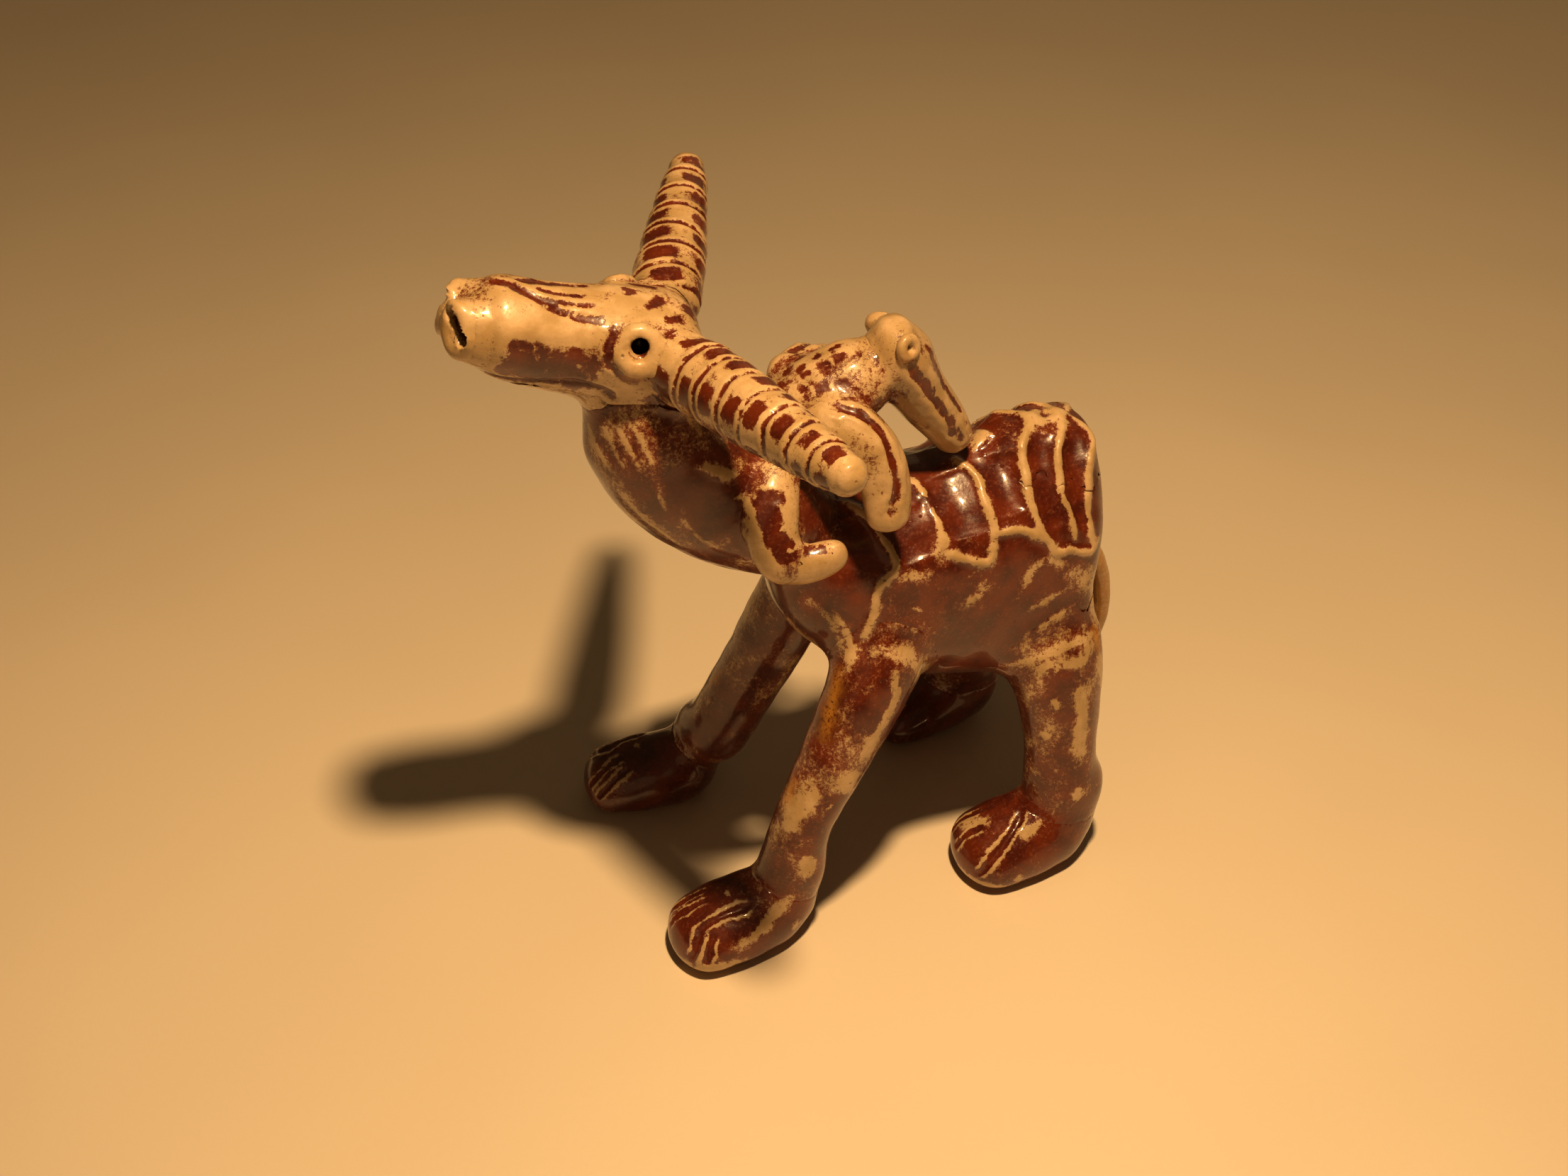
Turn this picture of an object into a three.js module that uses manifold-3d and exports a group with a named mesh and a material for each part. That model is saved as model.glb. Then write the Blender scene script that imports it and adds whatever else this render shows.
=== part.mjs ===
// A small hand-built, glazed clay figure: a four-legged horned beast with a raised snout, and a
// young one riding backwards on its shoulders. Every roll, lump and pellet of clay that was
// scored and pressed onto the next is one named solid, with the clay seam left as a narrow gap.
// Millimetres, +Z up. The head points to -X and the tail to +X. The origin is on the floor,
// under the middle of the figure's bounding box.
import * as THREE from "three";
import { mergeVertices } from "three/addons/utils/BufferGeometryUtils.js";
import Module from "manifold-3d";

// ---- Driving dimensions, in mm ----
const BODY_LENGTH = 62; // breast to rump
const BACK_HEIGHT = 82; // floor to the saddle of the back
const BODY_WIDTH = 33; // flank to flank
const HUMP_RISE = 3.5; // top of the fluted hump over the saddle
const STANCE_WIDTH = 41; // middle of a left paw to the middle of a right paw
const LEG_THICKNESS = 12.6; // each leg's roll of clay
const PAW_LENGTH = 27;
const NECK_THICKNESS = 24;
const HEAD_HEIGHT = 113.6; // floor to the middle of the head, between the eyes
const HEAD_LENGTH = 39; // back of the skull to the nose
const HEAD_WIDTH = 19;
const HORN_LENGTH = 48.5; // from inside the skull to the blunt tip
const HORN_THICKNESS = 13.4; // at the root
const RIDER_LENGTH = 40; // rump to nose of the small rider, along its back
const RIDER_THICKNESS = 15;
const EYE_DIAMETER = 8.4;
const SEAM_GAP = 0.3; // between two pieces of clay
const HEAD_TURN_DEG = 5; // the head looks a little to its right
const SNOUT_RAISE_DEG = 17;

// ---- How finely the curved faces are cut ----
const AROUND = 12;
const ALONG = 8;
const CAP_RINGS = 3;

const kit = await Module();
kit.setup();
const rad = THREE.MathUtils.degToRad;
const v3 = (x, y, z) => new THREE.Vector3(x, y, z);

// ---- Places on the body, as fractions of its length, half width and back height ----
const onBody = (along, side, up) => v3(along * BODY_LENGTH, (side * BODY_WIDTH) / 2, up * BACK_HEIGHT);

// ---- Closed geometry and solids ----
const welded = (geometry) => {
  const bare = geometry.clone();
  bare.deleteAttribute("normal");
  bare.deleteAttribute("uv");
  return mergeVertices(bare, 1e-4);
};

// The same skin pushed out along its own normals, for cutting a neighbour with a seam gap.
const swollen = (geometry, by) => {
  const skin = welded(geometry);
  skin.computeVertexNormals();
  const { position, normal } = skin.attributes;
  for (let i = 0; i < position.count; i++) {
    position.setXYZ(
      i,
      position.getX(i) + by * normal.getX(i),
      position.getY(i) + by * normal.getY(i),
      position.getZ(i) + by * normal.getZ(i),
    );
  }
  return skin;
};

const toSolid = (geometry) => {
  const skin = welded(geometry);
  return new kit.Manifold(
    new kit.Mesh({
      numProp: 3,
      vertProperties: new Float32Array(skin.attributes.position.array),
      triVerts: new Uint32Array(skin.index.array),
    }),
  );
};

const toGeometry = (solid) => {
  const mesh = solid.getMesh();
  const count = mesh.vertProperties.length / mesh.numProp;
  const xyz = new Float32Array(count * 3);
  for (let i = 0; i < count; i++) {
    xyz.set(mesh.vertProperties.subarray(i * mesh.numProp, i * mesh.numProp + 3), i * 3);
  }
  const geometry = new THREE.BufferGeometry();
  geometry.setAttribute("position", new THREE.BufferAttribute(xyz, 3));
  geometry.setIndex(new THREE.BufferAttribute(new Uint32Array(mesh.triVerts), 1));
  geometry.computeVertexNormals();
  return geometry;
};

// A roll of clay: a closed lathe whose axis is bent along a curve through the stations.
// Each station is { at, wide, deep }: wide is the half width towards `side`, deep the other one.
const roll = (stations, side, options = {}) => {
  const { around = AROUND, along = ALONG, square = 1, rounding = [0.8, 0.8], relief } = options;
  const spine = new THREE.CatmullRomCurve3(stations.map((s) => s.at));
  const girth = new THREE.CatmullRomCurve3(stations.map((s) => v3(s.wide, s.deep, 0)));
  const length = spine.getLength();
  const first = stations[0];
  const last = stations[stations.length - 1];
  const capStart = Math.min(0.45, (rounding[0] * Math.min(first.wide, first.deep)) / length);
  const capEnd = Math.min(0.45, (rounding[1] * Math.min(last.wide, last.deep)) / length);
  const profile = [];
  for (let i = 0; i <= CAP_RINGS; i++) {
    const a = (i / CAP_RINGS) * (Math.PI / 2);
    profile.push(new THREE.Vector2(Math.sin(a), capStart * (1 - Math.cos(a))));
  }
  for (let i = 1; i < along; i++) {
    profile.push(new THREE.Vector2(1, capStart + (1 - capStart - capEnd) * (i / along)));
  }
  for (let i = CAP_RINGS; i >= 0; i--) {
    const a = (i / CAP_RINGS) * (Math.PI / 2);
    profile.push(new THREE.Vector2(Math.sin(a), 1 - capEnd * (1 - Math.cos(a))));
  }
  profile[0].x = 0;
  profile[profile.length - 1].x = 0;
  const geometry = new THREE.LatheGeometry(profile, around);
  const { position } = geometry.attributes;
  const boxy = (c) => Math.sign(c) * Math.pow(Math.abs(c), square);
  for (let i = 0; i < position.count; i++) {
    const u = THREE.MathUtils.clamp(position.getY(i), 0, 1);
    const reach = Math.hypot(position.getX(i), position.getZ(i));
    const turn = Math.atan2(position.getZ(i), position.getX(i));
    const t = spine.getUtoTmapping(u);
    const tangent = spine.getTangent(t);
    const across = side.clone().addScaledVector(tangent, -side.dot(tangent)).normalize();
    const outward = new THREE.Vector3().crossVectors(across, tangent);
    const size = girth.getPoint(t);
    const extra = relief ? relief(u * length, length) * (reach > 0.98 ? 1 : 0) : 0;
    const place = spine
      .getPoint(t)
      .addScaledVector(across, reach * boxy(Math.cos(turn)) * (size.x + extra))
      .addScaledVector(outward, reach * boxy(Math.sin(turn)) * (size.y + extra));
    position.setXYZ(i, place.x, place.y, place.z);
  }
  return geometry;
};

// A flattened pellet pressed on at `at`, facing `out`, with a poked hole that doesn't go through.
const pellet = (at, out, options) => {
  const { wide, tall, thick, hole, holeTall = hole, up = v3(0, 0, 1) } = options;
  const holeX = hole / wide;
  const profile = [
    [0, 0.12],
    [holeX * 0.75, 0.12],
    [holeX, 0.95],
    [holeX * 1.35, 1.06],
    [0.78, 1.0],
    [0.97, 0.62],
    [1.0, 0.2],
    [0.9, -0.55],
    [0, -0.7],
  ]
    .reverse()
    .map(([r, h]) => new THREE.Vector2(r, h));
  const geometry = new THREE.LatheGeometry(profile, AROUND - 1);
  const stretchHole = holeTall / hole;
  const { position } = geometry.attributes;
  const across = new THREE.Vector3().crossVectors(out, up).normalize();
  const upward = new THREE.Vector3().crossVectors(across, out).normalize();
  for (let i = 0; i < position.count; i++) {
    const r = Math.hypot(position.getX(i), position.getZ(i));
    const inHole = r < holeX * 1.4 && position.getY(i) > 0 ? stretchHole : 1;
    const place = at
      .clone()
      .addScaledVector(across, position.getX(i) * wide)
      .addScaledVector(upward, position.getZ(i) * tall * inHole)
      .addScaledVector(out, position.getY(i) * thick);
    position.setXYZ(i, place.x, place.y, place.z);
  }
  return geometry;
};

// ---- The figure, built up piece by piece ----
const figure = new THREE.Group();
figure.name = "alebrije_figure";
const skins = new Map(); // each piece's uncut skin, in the order they were pressed on

// Trims the new piece by the swollen skins of the pieces it was pressed onto.
const press = (name, skin, pressedOnto, look, trim) => {
  let solid = toSolid(skin);
  for (const other of pressedOnto) {
    solid = solid.subtract(toSolid(swollen(skins.get(other), SEAM_GAP)));
  }
  if (trim) solid = trim(solid);
  skins.set(name, skin);
  const mesh = new THREE.Mesh(
    toGeometry(solid),
    new THREE.MeshStandardMaterial({ color: look.color, roughness: look.roughness, metalness: 0 }),
  );
  mesh.name = name;
  figure.add(mesh);
};

// Cuts away what lies under the floor, so that a sole is flat.
const FLOOR_BLOCK = 400;
const aboveFloor = (solid) => {
  const block = new THREE.BoxGeometry(FLOOR_BLOCK, FLOOR_BLOCK, FLOOR_BLOCK);
  block.translate(0, 0, -FLOOR_BLOCK / 2);
  return solid.subtract(toSolid(block));
};

const OXBLOOD = { color: 0x6b2413, roughness: 0.16 };
const MOTTLED = { color: 0x93593b, roughness: 0.16 };
const CREAM = { color: 0xcfae84, roughness: 0.16 };

const Y = v3(0, 1, 0);
const X = v3(1, 0, 0);

// ---- Torso: one thick lump, arched over the belly ----
const station = (along, up, wide, deep) => ({
  at: onBody(along, 0, up),
  wide: (wide * BODY_WIDTH) / 2,
  deep: deep * BACK_HEIGHT,
});
const torso = roll(
  [
    station(-0.03, 0.815, 0.45, 0.09),
    station(0.1, 0.79, 0.82, 0.17),
    station(0.28, 0.765, 0.97, 0.215),
    station(0.48, 0.725, 1.0, 0.265),
    station(0.68, 0.71, 0.99, 0.275),
    station(0.82, 0.7, 0.95, 0.265),
    station(0.9, 0.69, 0.82, 0.225),
  ],
  Y,
  { around: 20, along: 11, square: 0.82, rounding: [0.8, 0.35] },
);
press("torso", torso, [], OXBLOOD);

// ---- Hump: the fluted lump that stands up over the hindquarters ----
const HUMP_TOP = 1 + HUMP_RISE / BACK_HEIGHT;
const hump = roll(
  [
    station(0.5, HUMP_TOP - 0.13, 0.4, 0.1),
    station(0.57, HUMP_TOP - 0.15, 0.62, 0.145),
    station(0.68, HUMP_TOP - 0.16, 0.78, 0.16),
    station(0.78, HUMP_TOP - 0.185, 0.84, 0.18),
    station(0.84, HUMP_TOP - 0.22, 0.78, 0.18),
  ],
  Y,
  { around: 16, along: 7, square: 0.86, rounding: [0.8, 0.35] },
);
press("hump", hump, ["torso"], OXBLOOD);

// ---- Legs and paws ----
const LEG_RADIUS = LEG_THICKNESS / 2;
const leg = (points, swell) =>
  roll(
    points.map((at, i) => ({ at, wide: LEG_RADIUS * swell[i][0], deep: LEG_RADIUS * swell[i][1] })),
    Y,
    { around: 12, along: 8 },
  );
// A point of a leg: its distance along the body, its share of the stance, its share of the height.
const onLeg = (along, stance, up) =>
  v3(along * BODY_LENGTH, (stance * STANCE_WIDTH) / 2, up * BACK_HEIGHT);
const pawSkin = (heel, toe, broad, tall) => {
  const middle = heel.clone().lerp(toe, 0.5);
  const reach = toe.clone().sub(heel).normalize();
  const across = new THREE.Vector3().crossVectors(v3(0, 0, 1), reach).normalize();
  const half = PAW_LENGTH / 2;
  const place = (f, up) => middle.clone().addScaledVector(reach, f * half).setZ(up * PAW_LENGTH);
  const PAW = PAW_LENGTH;
  return roll(
    [
      { at: place(-0.92, 0.15), wide: 0.22 * PAW * broad, deep: 0.2 * PAW * tall },
      { at: place(-0.4, 0.19), wide: 0.3 * PAW * broad, deep: 0.25 * PAW * tall },
      { at: place(0.2, 0.16), wide: 0.35 * PAW * broad, deep: 0.24 * PAW * tall },
      { at: place(0.72, 0.11), wide: 0.34 * PAW * broad, deep: 0.19 * PAW * tall },
      { at: place(1.0, 0.08), wide: 0.24 * PAW * broad, deep: 0.13 * PAW * tall },
    ],
    across,
    { around: 14, along: 6, rounding: [0.9, 0.9] },
  );
};

const legs = {
  left_fore: {
    line: [
      onLeg(0.29, -0.5, 0.72),
      onLeg(0.19, -0.7, 0.61),
      onLeg(0.07, -0.82, 0.45),
      onLeg(-0.05, -0.9, 0.28),
      onLeg(-0.1, -0.9, 0.12),
    ],
    swell: [
      [1.1, 1.6],
      [1.05, 1.35],
      [1.0, 1.08],
      [0.92, 0.92],
      [0.95, 1.0],
    ],
    heel: onLeg(-0.08, -0.91, 0),
    toe: onLeg(-0.4, -0.93, 0),
    broad: 0.98,
    tall: 1.16,
  },
  right_fore: {
    line: [
      onLeg(0.2, 0.5, 0.72),
      onLeg(0.11, 0.6, 0.56),
      onLeg(0.03, 0.72, 0.4),
      onLeg(-0.06, 0.84, 0.24),
      onLeg(-0.13, 0.92, 0.11),
    ],
    swell: [
      [1.15, 1.3],
      [1.12, 1.22],
      [1.08, 1.12],
      [1.05, 1.08],
      [1.05, 1.08],
    ],
    heel: onLeg(-0.15, 0.95, 0),
    toe: onLeg(-0.42, 1.2, 0),
    broad: 0.95,
    tall: 1.1,
  },
  left_hind: {
    line: [
      onLeg(0.7, -0.5, 0.66),
      onLeg(0.745, -0.68, 0.52),
      onLeg(0.76, -0.8, 0.36),
      onLeg(0.755, -0.88, 0.22),
      onLeg(0.76, -0.9, 0.1),
    ],
    swell: [
      [1.1, 2.0],
      [1.1, 1.56],
      [1.02, 1.2],
      [1.0, 1.1],
      [1.1, 1.2],
    ],
    heel: onLeg(0.83, -0.9, 0),
    toe: onLeg(0.46, -0.9, 0),
    broad: 1.0,
    tall: 1.3,
  },
  right_hind: {
    line: [
      onLeg(0.72, 0.5, 0.66),
      onLeg(0.73, 0.72, 0.5),
      onLeg(0.73, 0.9, 0.34),
      onLeg(0.72, 1.02, 0.22),
      onLeg(0.72, 1.06, 0.1),
    ],
    swell: [
      [1.1, 1.4],
      [1.08, 1.26],
      [1.02, 1.1],
      [1.0, 1.05],
      [1.05, 1.12],
    ],
    heel: onLeg(0.78, 1.1, 0),
    toe: onLeg(0.48, 1.08, 0),
    broad: 0.98,
    tall: 1.05,
  },
};
for (const [name, l] of Object.entries(legs)) {
  press(name + "_paw", pawSkin(l.heel, l.toe, l.broad, l.tall), [], OXBLOOD, aboveFloor);
  press(name + "_leg", leg(l.line, l.swell), ["torso", "hump", name + "_paw"], MOTTLED, aboveFloor);
}

// ---- Tail: a short strip hanging from the rump ----
const TAIL_HALF_WIDTH = 3.2;
const TAIL_HALF_DEPTH = 2;
const tail = roll(
  [
    { at: onBody(0.88, 0.02, 0.74), wide: TAIL_HALF_WIDTH * 0.9, deep: TAIL_HALF_DEPTH },
    { at: onBody(0.97, 0.06, 0.62), wide: TAIL_HALF_WIDTH, deep: TAIL_HALF_DEPTH * 1.1 },
    { at: onBody(1.02, 0.1, 0.48), wide: TAIL_HALF_WIDTH * 0.9, deep: TAIL_HALF_DEPTH },
    { at: onBody(1.01, 0.12, 0.35), wide: TAIL_HALF_WIDTH * 0.6, deep: TAIL_HALF_DEPTH * 0.8 },
  ],
  Y,
  { around: 10, along: 6 },
);
press("tail", tail, ["torso", "hump"], MOTTLED);

// ---- Places on the head: forward to the nose, across to its right, and up ----
const headMiddle = onBody(-0.36, 0.13, 0).setZ(HEAD_HEIGHT);
const headTurn = new THREE.Matrix4()
  .makeRotationZ(-rad(HEAD_TURN_DEG))
  .multiply(new THREE.Matrix4().makeRotationY(rad(SNOUT_RAISE_DEG)));
const headAxis = (x, y, z) => v3(x, y, z).applyMatrix4(headTurn);
const FORWARD = headAxis(-1, 0, 0);
const RIGHT = headAxis(0, 1, 0);
const UP = headAxis(0, 0, 1);
const onHead = (forward, right, up) =>
  headMiddle
    .clone()
    .addScaledVector(FORWARD, forward * HEAD_LENGTH)
    .addScaledVector(RIGHT, (right * HEAD_WIDTH) / 2)
    .addScaledVector(UP, (up * HEAD_WIDTH) / 2);

// ---- Neck: a thick roll with a pouch at the throat ----
const NECK_RADIUS = NECK_THICKNESS / 2;
const neckRoot = onBody(0.12, 0, 0.88);
const neckTop = onHead(-0.15, 0, -0.3);
const neckRise = neckTop.clone().sub(neckRoot);
const neckSpan = neckRise.length();
const throat = new THREE.Vector3().crossVectors(neckRise, Y).normalize(); // forwards and down
// A place on the neck: its share of the way up, and its bulge at the throat as a share of the span.
const onNeck = (share, bulge) =>
  neckRoot.clone().addScaledVector(neckRise, share).addScaledVector(throat, bulge * neckSpan);
const neckStation = (share, bulge, wide, deep) => ({
  at: onNeck(share, bulge),
  wide: wide * NECK_RADIUS,
  deep: deep * NECK_RADIUS,
});
const neck = roll(
  [
    neckStation(0, 0, 0.86, 0.7),
    neckStation(0.24, 0.13, 0.98, 0.88),
    neckStation(0.56, 0.215, 1.0, 1.0),
    neckStation(0.87, 0.185, 0.88, 0.96),
    neckStation(1, 0.02, 0.64, 0.75),
  ],
  Y,
  { around: 16, along: 8 },
);
press("neck", neck, ["torso"], MOTTLED);

// ---- Head: skull and snout in one long roll ----
const headStation = (forward, up, wide, deep) => ({
  at: onHead(forward, 0, up),
  wide: (wide * HEAD_WIDTH) / 2,
  deep: (deep * HEAD_WIDTH) / 2,
});
const head = roll(
  [
    headStation(-0.27, 0.0, 0.75, 0.6),
    headStation(-0.12, 0.02, 1.0, 0.92),
    headStation(0.08, 0.0, 0.98, 0.94),
    headStation(0.34, 0.0, 0.86, 0.82),
    headStation(0.58, 0.05, 0.9, 0.84),
    headStation(0.73, 0.06, 0.74, 0.68),
  ],
  RIGHT,
  { around: 16, along: 9 },
);
press("head", head, ["neck"], CREAM);

// ---- Lower jaw: a thin strip pressed under the snout ----
const jaw = roll(
  [
    headStation(0.0, -0.86, 0.5, 0.2),
    headStation(0.2, -0.84, 0.64, 0.28),
    headStation(0.44, -0.76, 0.62, 0.28),
    headStation(0.64, -0.58, 0.48, 0.22),
  ],
  RIGHT,
  { around: 10, along: 6 },
);
press("lower_jaw", jaw, ["neck", "head"], CREAM);

// ---- Nostrils: two pinched lobes with a poked slot ----
const NOSTRIL = HEAD_WIDTH * 0.186;
const slantUp = UP.clone().addScaledVector(RIGHT, 0.35).normalize();
const nostrilOut = (side) => FORWARD.clone().addScaledVector(RIGHT, side * 0.55).normalize();
for (const [name, side, first] of [
  ["left_nostril", -1, []],
  ["right_nostril", 1, ["left_nostril"]],
]) {
  const skin = pellet(onHead(0.72, side * 0.34, 0.06), nostrilOut(side), {
    wide: NOSTRIL,
    tall: NOSTRIL * 1.45,
    thick: NOSTRIL * 0.45,
    hole: NOSTRIL * 0.3,
    holeTall: NOSTRIL * 0.52,
    up: slantUp,
  });
  press(name, skin, ["head", "lower_jaw", ...first], CREAM);
}

// ---- Eyes: pellets with a poked pupil ----
for (const [name, side] of [["left_eye", -1], ["right_eye", 1]]) {
  const out = RIGHT.clone().multiplyScalar(side);
  out.addScaledVector(UP, 0.45).addScaledVector(FORWARD, 0.25).normalize();
  const skin = pellet(onHead(0.06, side * 0.84, 0.34), out, {
    wide: EYE_DIAMETER / 2,
    tall: (EYE_DIAMETER / 2) * 1.05,
    thick: EYE_DIAMETER * 0.2,
    hole: EYE_DIAMETER * 0.19,
    up: UP,
  });
  press(name, skin, ["head"], CREAM);
}

// ---- Horns: ringed rolls that stand out sideways ----
const HORN_RADIUS = HORN_THICKNESS / 2;
const HORN_RINGS = 8;
const RING_DEPTH = 0.45;
const ringed = (s, length) => -RING_DEPTH * Math.pow(Math.cos((Math.PI * HORN_RINGS * s) / length), 8);
const HORN_SWEEP = 0.36; // backwards, for each unit outwards
const HORN_LIFT = 0.09;
for (const [hand, side] of [["left", -1], ["right", 1]]) {
  const root = onHead(-0.12, side * 0.4, 0.04);
  const level = v3(1, 0, 0).applyAxisAngle(v3(0, 0, 1), -rad(HEAD_TURN_DEG));
  const lean = RIGHT.clone().multiplyScalar(side).addScaledVector(level, HORN_SWEEP);
  lean.z += HORN_LIFT;
  lean.normalize();
  const sweep = (f) => root.clone().addScaledVector(lean, f * HORN_LENGTH);
  const skin = roll(
    [
      { at: sweep(0), wide: HORN_RADIUS, deep: HORN_RADIUS },
      { at: sweep(0.3), wide: HORN_RADIUS * 0.96, deep: HORN_RADIUS * 0.96 },
      { at: sweep(0.66), wide: HORN_RADIUS * 0.8, deep: HORN_RADIUS * 0.8 },
      { at: sweep(1), wide: HORN_RADIUS * 0.6, deep: HORN_RADIUS * 0.6 },
    ],
    X,
    { around: 12, along: 24, relief: ringed },
  );
  press(hand + "_horn", skin, ["neck", "head", hand + "_eye"], MOTTLED);
}

// ---- The rider, facing the tail ----
const RIDER = RIDER_LENGTH;
const riderSeat = onBody(0.06, 0, 1.0);
const onRider = (along, side, up) => riderSeat.clone().add(v3(along * RIDER, side * RIDER, up * RIDER));
const RIDER_RADIUS = RIDER_THICKNESS / 2;
const riderStation = (along, up, wide, deep, side = 0) => ({
  at: onRider(along, side, up),
  wide: wide * RIDER_RADIUS,
  deep: deep * RIDER_RADIUS,
});
const riderBody = roll(
  [
    riderStation(-0.24, 0.08, 0.7, 0.7),
    riderStation(-0.12, 0.22, 1.0, 0.95),
    riderStation(0.1, 0.38, 1.05, 1.0),
    riderStation(0.27, 0.47, 0.9, 0.84),
    riderStation(0.37, 0.5, 0.7, 0.7),
  ],
  Y,
  { around: 12, along: 7 },
);
press("rider_body", riderBody, ["torso", "neck"], MOTTLED);

const riderHead = roll(
  [
    riderStation(0.28, 0.59, 0.55, 0.6),
    riderStation(0.37, 0.56, 0.86, 0.82, -0.01),
    riderStation(0.5, 0.34, 0.7, 0.64, -0.02),
    riderStation(0.62, 0.16, 0.6, 0.54, -0.03),
    riderStation(0.7, 0.03, 0.46, 0.42, -0.03),
  ],
  Y,
  { around: 12, along: 7 },
);
press("rider_head", riderHead, ["rider_body", "hump", "torso"], CREAM);

for (const [name, side] of [["rider_left_eye", 1], ["rider_right_eye", -1]]) {
  // The rider faces the tail, so its own left is on the beast's right.
  const droop = name === "rider_left_eye" ? 0.06 : 0;
  const out = v3(0.35, side, 0.35 - 4 * droop).normalize();
  const skin = pellet(onRider(0.39, side * 0.14, 0.64 - droop), out, {
    wide: EYE_DIAMETER * 0.29,
    tall: EYE_DIAMETER * 0.29,
    thick: EYE_DIAMETER * 0.14,
    hole: EYE_DIAMETER * 0.1,
    up: v3(0, 0, 1),
  });
  press(name, skin, ["rider_head", "rider_body"], CREAM);
}

const limb = (points, wide, deep, side) =>
  roll(
    points.map((at, i) => ({ at, wide: wide[i] * RIDER_RADIUS, deep: deep[i] * RIDER_RADIUS })),
    side,
    { around: 10, along: 8 },
  );
for (const [name, side] of [["right", -1], ["left", 1]]) {
  const arm = limb(
    [
      onRider(-0.04, side * 0.08, 0.38),
      onRider(0.08, side * 0.22, 0.42),
      onRider(0.19, side * 0.32, 0.3),
      onBody(0.2, side * 0.88, 1.08),
      onBody(0.2, side * 1.0, 0.99),
    ],
    [0.55, 0.64, 0.64, 0.6, 0.5],
    [0.45, 0.46, 0.42, 0.4, 0.34],
    X,
  );
  press("rider_" + name + "_arm", arm, ["torso", "neck", "rider_body", "rider_head"], MOTTLED);
  const shin = limb(
    [
      onRider(-0.15, side * 0.1, 0.24),
      onRider(-0.22, side * 0.26, 0.16),
      onBody(-0.1, side * 0.86, 1.0),
      onBody(-0.05, side * 0.95, 0.93),
    ],
    [0.6, 0.62, 0.6, 0.5],
    [0.5, 0.46, 0.42, 0.38],
    X,
  );
  press("rider_" + name + "_leg", shin, ["torso", "neck", "rider_body", "rider_" + name + "_arm"], MOTTLED);
  const foot = limb(
    [onBody(-0.1, side * 0.92, 0.95), onBody(0.0, side * 0.98, 0.955), onBody(0.09, side * 1.0, 0.975)],
    [0.34, 0.36, 0.22],
    [0.5, 0.5, 0.34],
    Y,
  );
  const besideFoot = ["torso", "neck", "rider_" + name + "_leg", "rider_" + name + "_arm"];
  press("rider_" + name + "_foot", foot, besideFoot, CREAM);
}

// ---- Onto the floor, centred ----
const extent = new THREE.Box3().setFromObject(figure);
const centre = extent.getCenter(new THREE.Vector3());
figure.position.set(-centre.x, -centre.y, -extent.min.z);

export default figure;
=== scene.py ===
"""Glazed clay alebrije figure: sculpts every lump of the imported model, glazes it and sets the studio."""

import math

import bpy
import numpy as np
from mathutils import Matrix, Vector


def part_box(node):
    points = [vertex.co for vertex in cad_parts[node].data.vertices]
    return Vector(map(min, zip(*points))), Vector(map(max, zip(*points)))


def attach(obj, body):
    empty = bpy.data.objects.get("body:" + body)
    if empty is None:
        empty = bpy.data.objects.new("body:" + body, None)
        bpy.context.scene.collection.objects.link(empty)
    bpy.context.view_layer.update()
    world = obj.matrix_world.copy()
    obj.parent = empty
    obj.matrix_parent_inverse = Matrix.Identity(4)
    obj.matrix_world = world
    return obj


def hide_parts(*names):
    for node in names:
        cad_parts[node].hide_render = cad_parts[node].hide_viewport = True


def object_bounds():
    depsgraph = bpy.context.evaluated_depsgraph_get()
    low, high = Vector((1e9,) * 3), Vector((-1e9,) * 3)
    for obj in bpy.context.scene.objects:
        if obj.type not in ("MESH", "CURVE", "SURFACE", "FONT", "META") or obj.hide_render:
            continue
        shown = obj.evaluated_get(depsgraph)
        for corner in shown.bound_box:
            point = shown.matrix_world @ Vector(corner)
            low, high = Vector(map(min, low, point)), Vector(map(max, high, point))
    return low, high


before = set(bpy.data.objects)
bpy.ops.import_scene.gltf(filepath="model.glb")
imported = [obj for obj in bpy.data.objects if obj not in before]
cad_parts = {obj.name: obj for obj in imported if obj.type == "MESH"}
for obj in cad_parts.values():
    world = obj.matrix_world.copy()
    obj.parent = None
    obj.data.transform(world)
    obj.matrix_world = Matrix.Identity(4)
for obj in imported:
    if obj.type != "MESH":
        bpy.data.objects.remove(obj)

import openvdb
from mathutils import Vector

bl_info = {
    "name": "Glazed clay alebrije",
    "version": (1, 0, 0),
    "blender": (4, 5, 0),
    "location": "3D View > Sidebar > Alebrije",
    "description": "Sculpts and glazes a small hand-pressed clay beast with a rider",
    "category": "Add Mesh",
}

MM = 0.001
FILM_WIDTH = 36.0
CAD_BOX = [list(corner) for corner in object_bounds()]

# Which lumps of clay make each group, and the glaze slot that the group is dipped in.
TRUNK = ("torso", "hump", "tail")
PAWS = ("left_fore_paw", "right_fore_paw", "left_hind_paw", "right_hind_paw")
LEGS = ("left_fore_leg", "right_fore_leg", "left_hind_leg", "right_hind_leg")
FACE = ("head", "lower_jaw", "left_nostril", "right_nostril")
EYES = ("left_eye", "right_eye")
HORNS = ("left_horn", "right_horn")
RIDER = ("rider_body", "rider_head")
RIDER_EYES = ("rider_left_eye", "rider_right_eye")
RIDER_LIMBS = ("rider_left_arm", "rider_right_arm", "rider_left_leg", "rider_right_leg")
RIDER_FEET = ("rider_left_foot", "rider_right_foot")
ALL_LUMPS = (TRUNK + PAWS + LEGS + ("neck",) + FACE + EYES + HORNS + RIDER + RIDER_EYES
             + RIDER_LIMBS + RIDER_FEET)
# Lumps whose seams stay sharp, and lumps too small for the wide filling of the big seams.
CRISP_LUMPS = EYES + RIDER_EYES
SMALL_LUMPS = CRISP_LUMPS + RIDER + RIDER_LIMBS + RIDER_FEET + ("tail", "left_nostril", "right_nostril")
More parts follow.
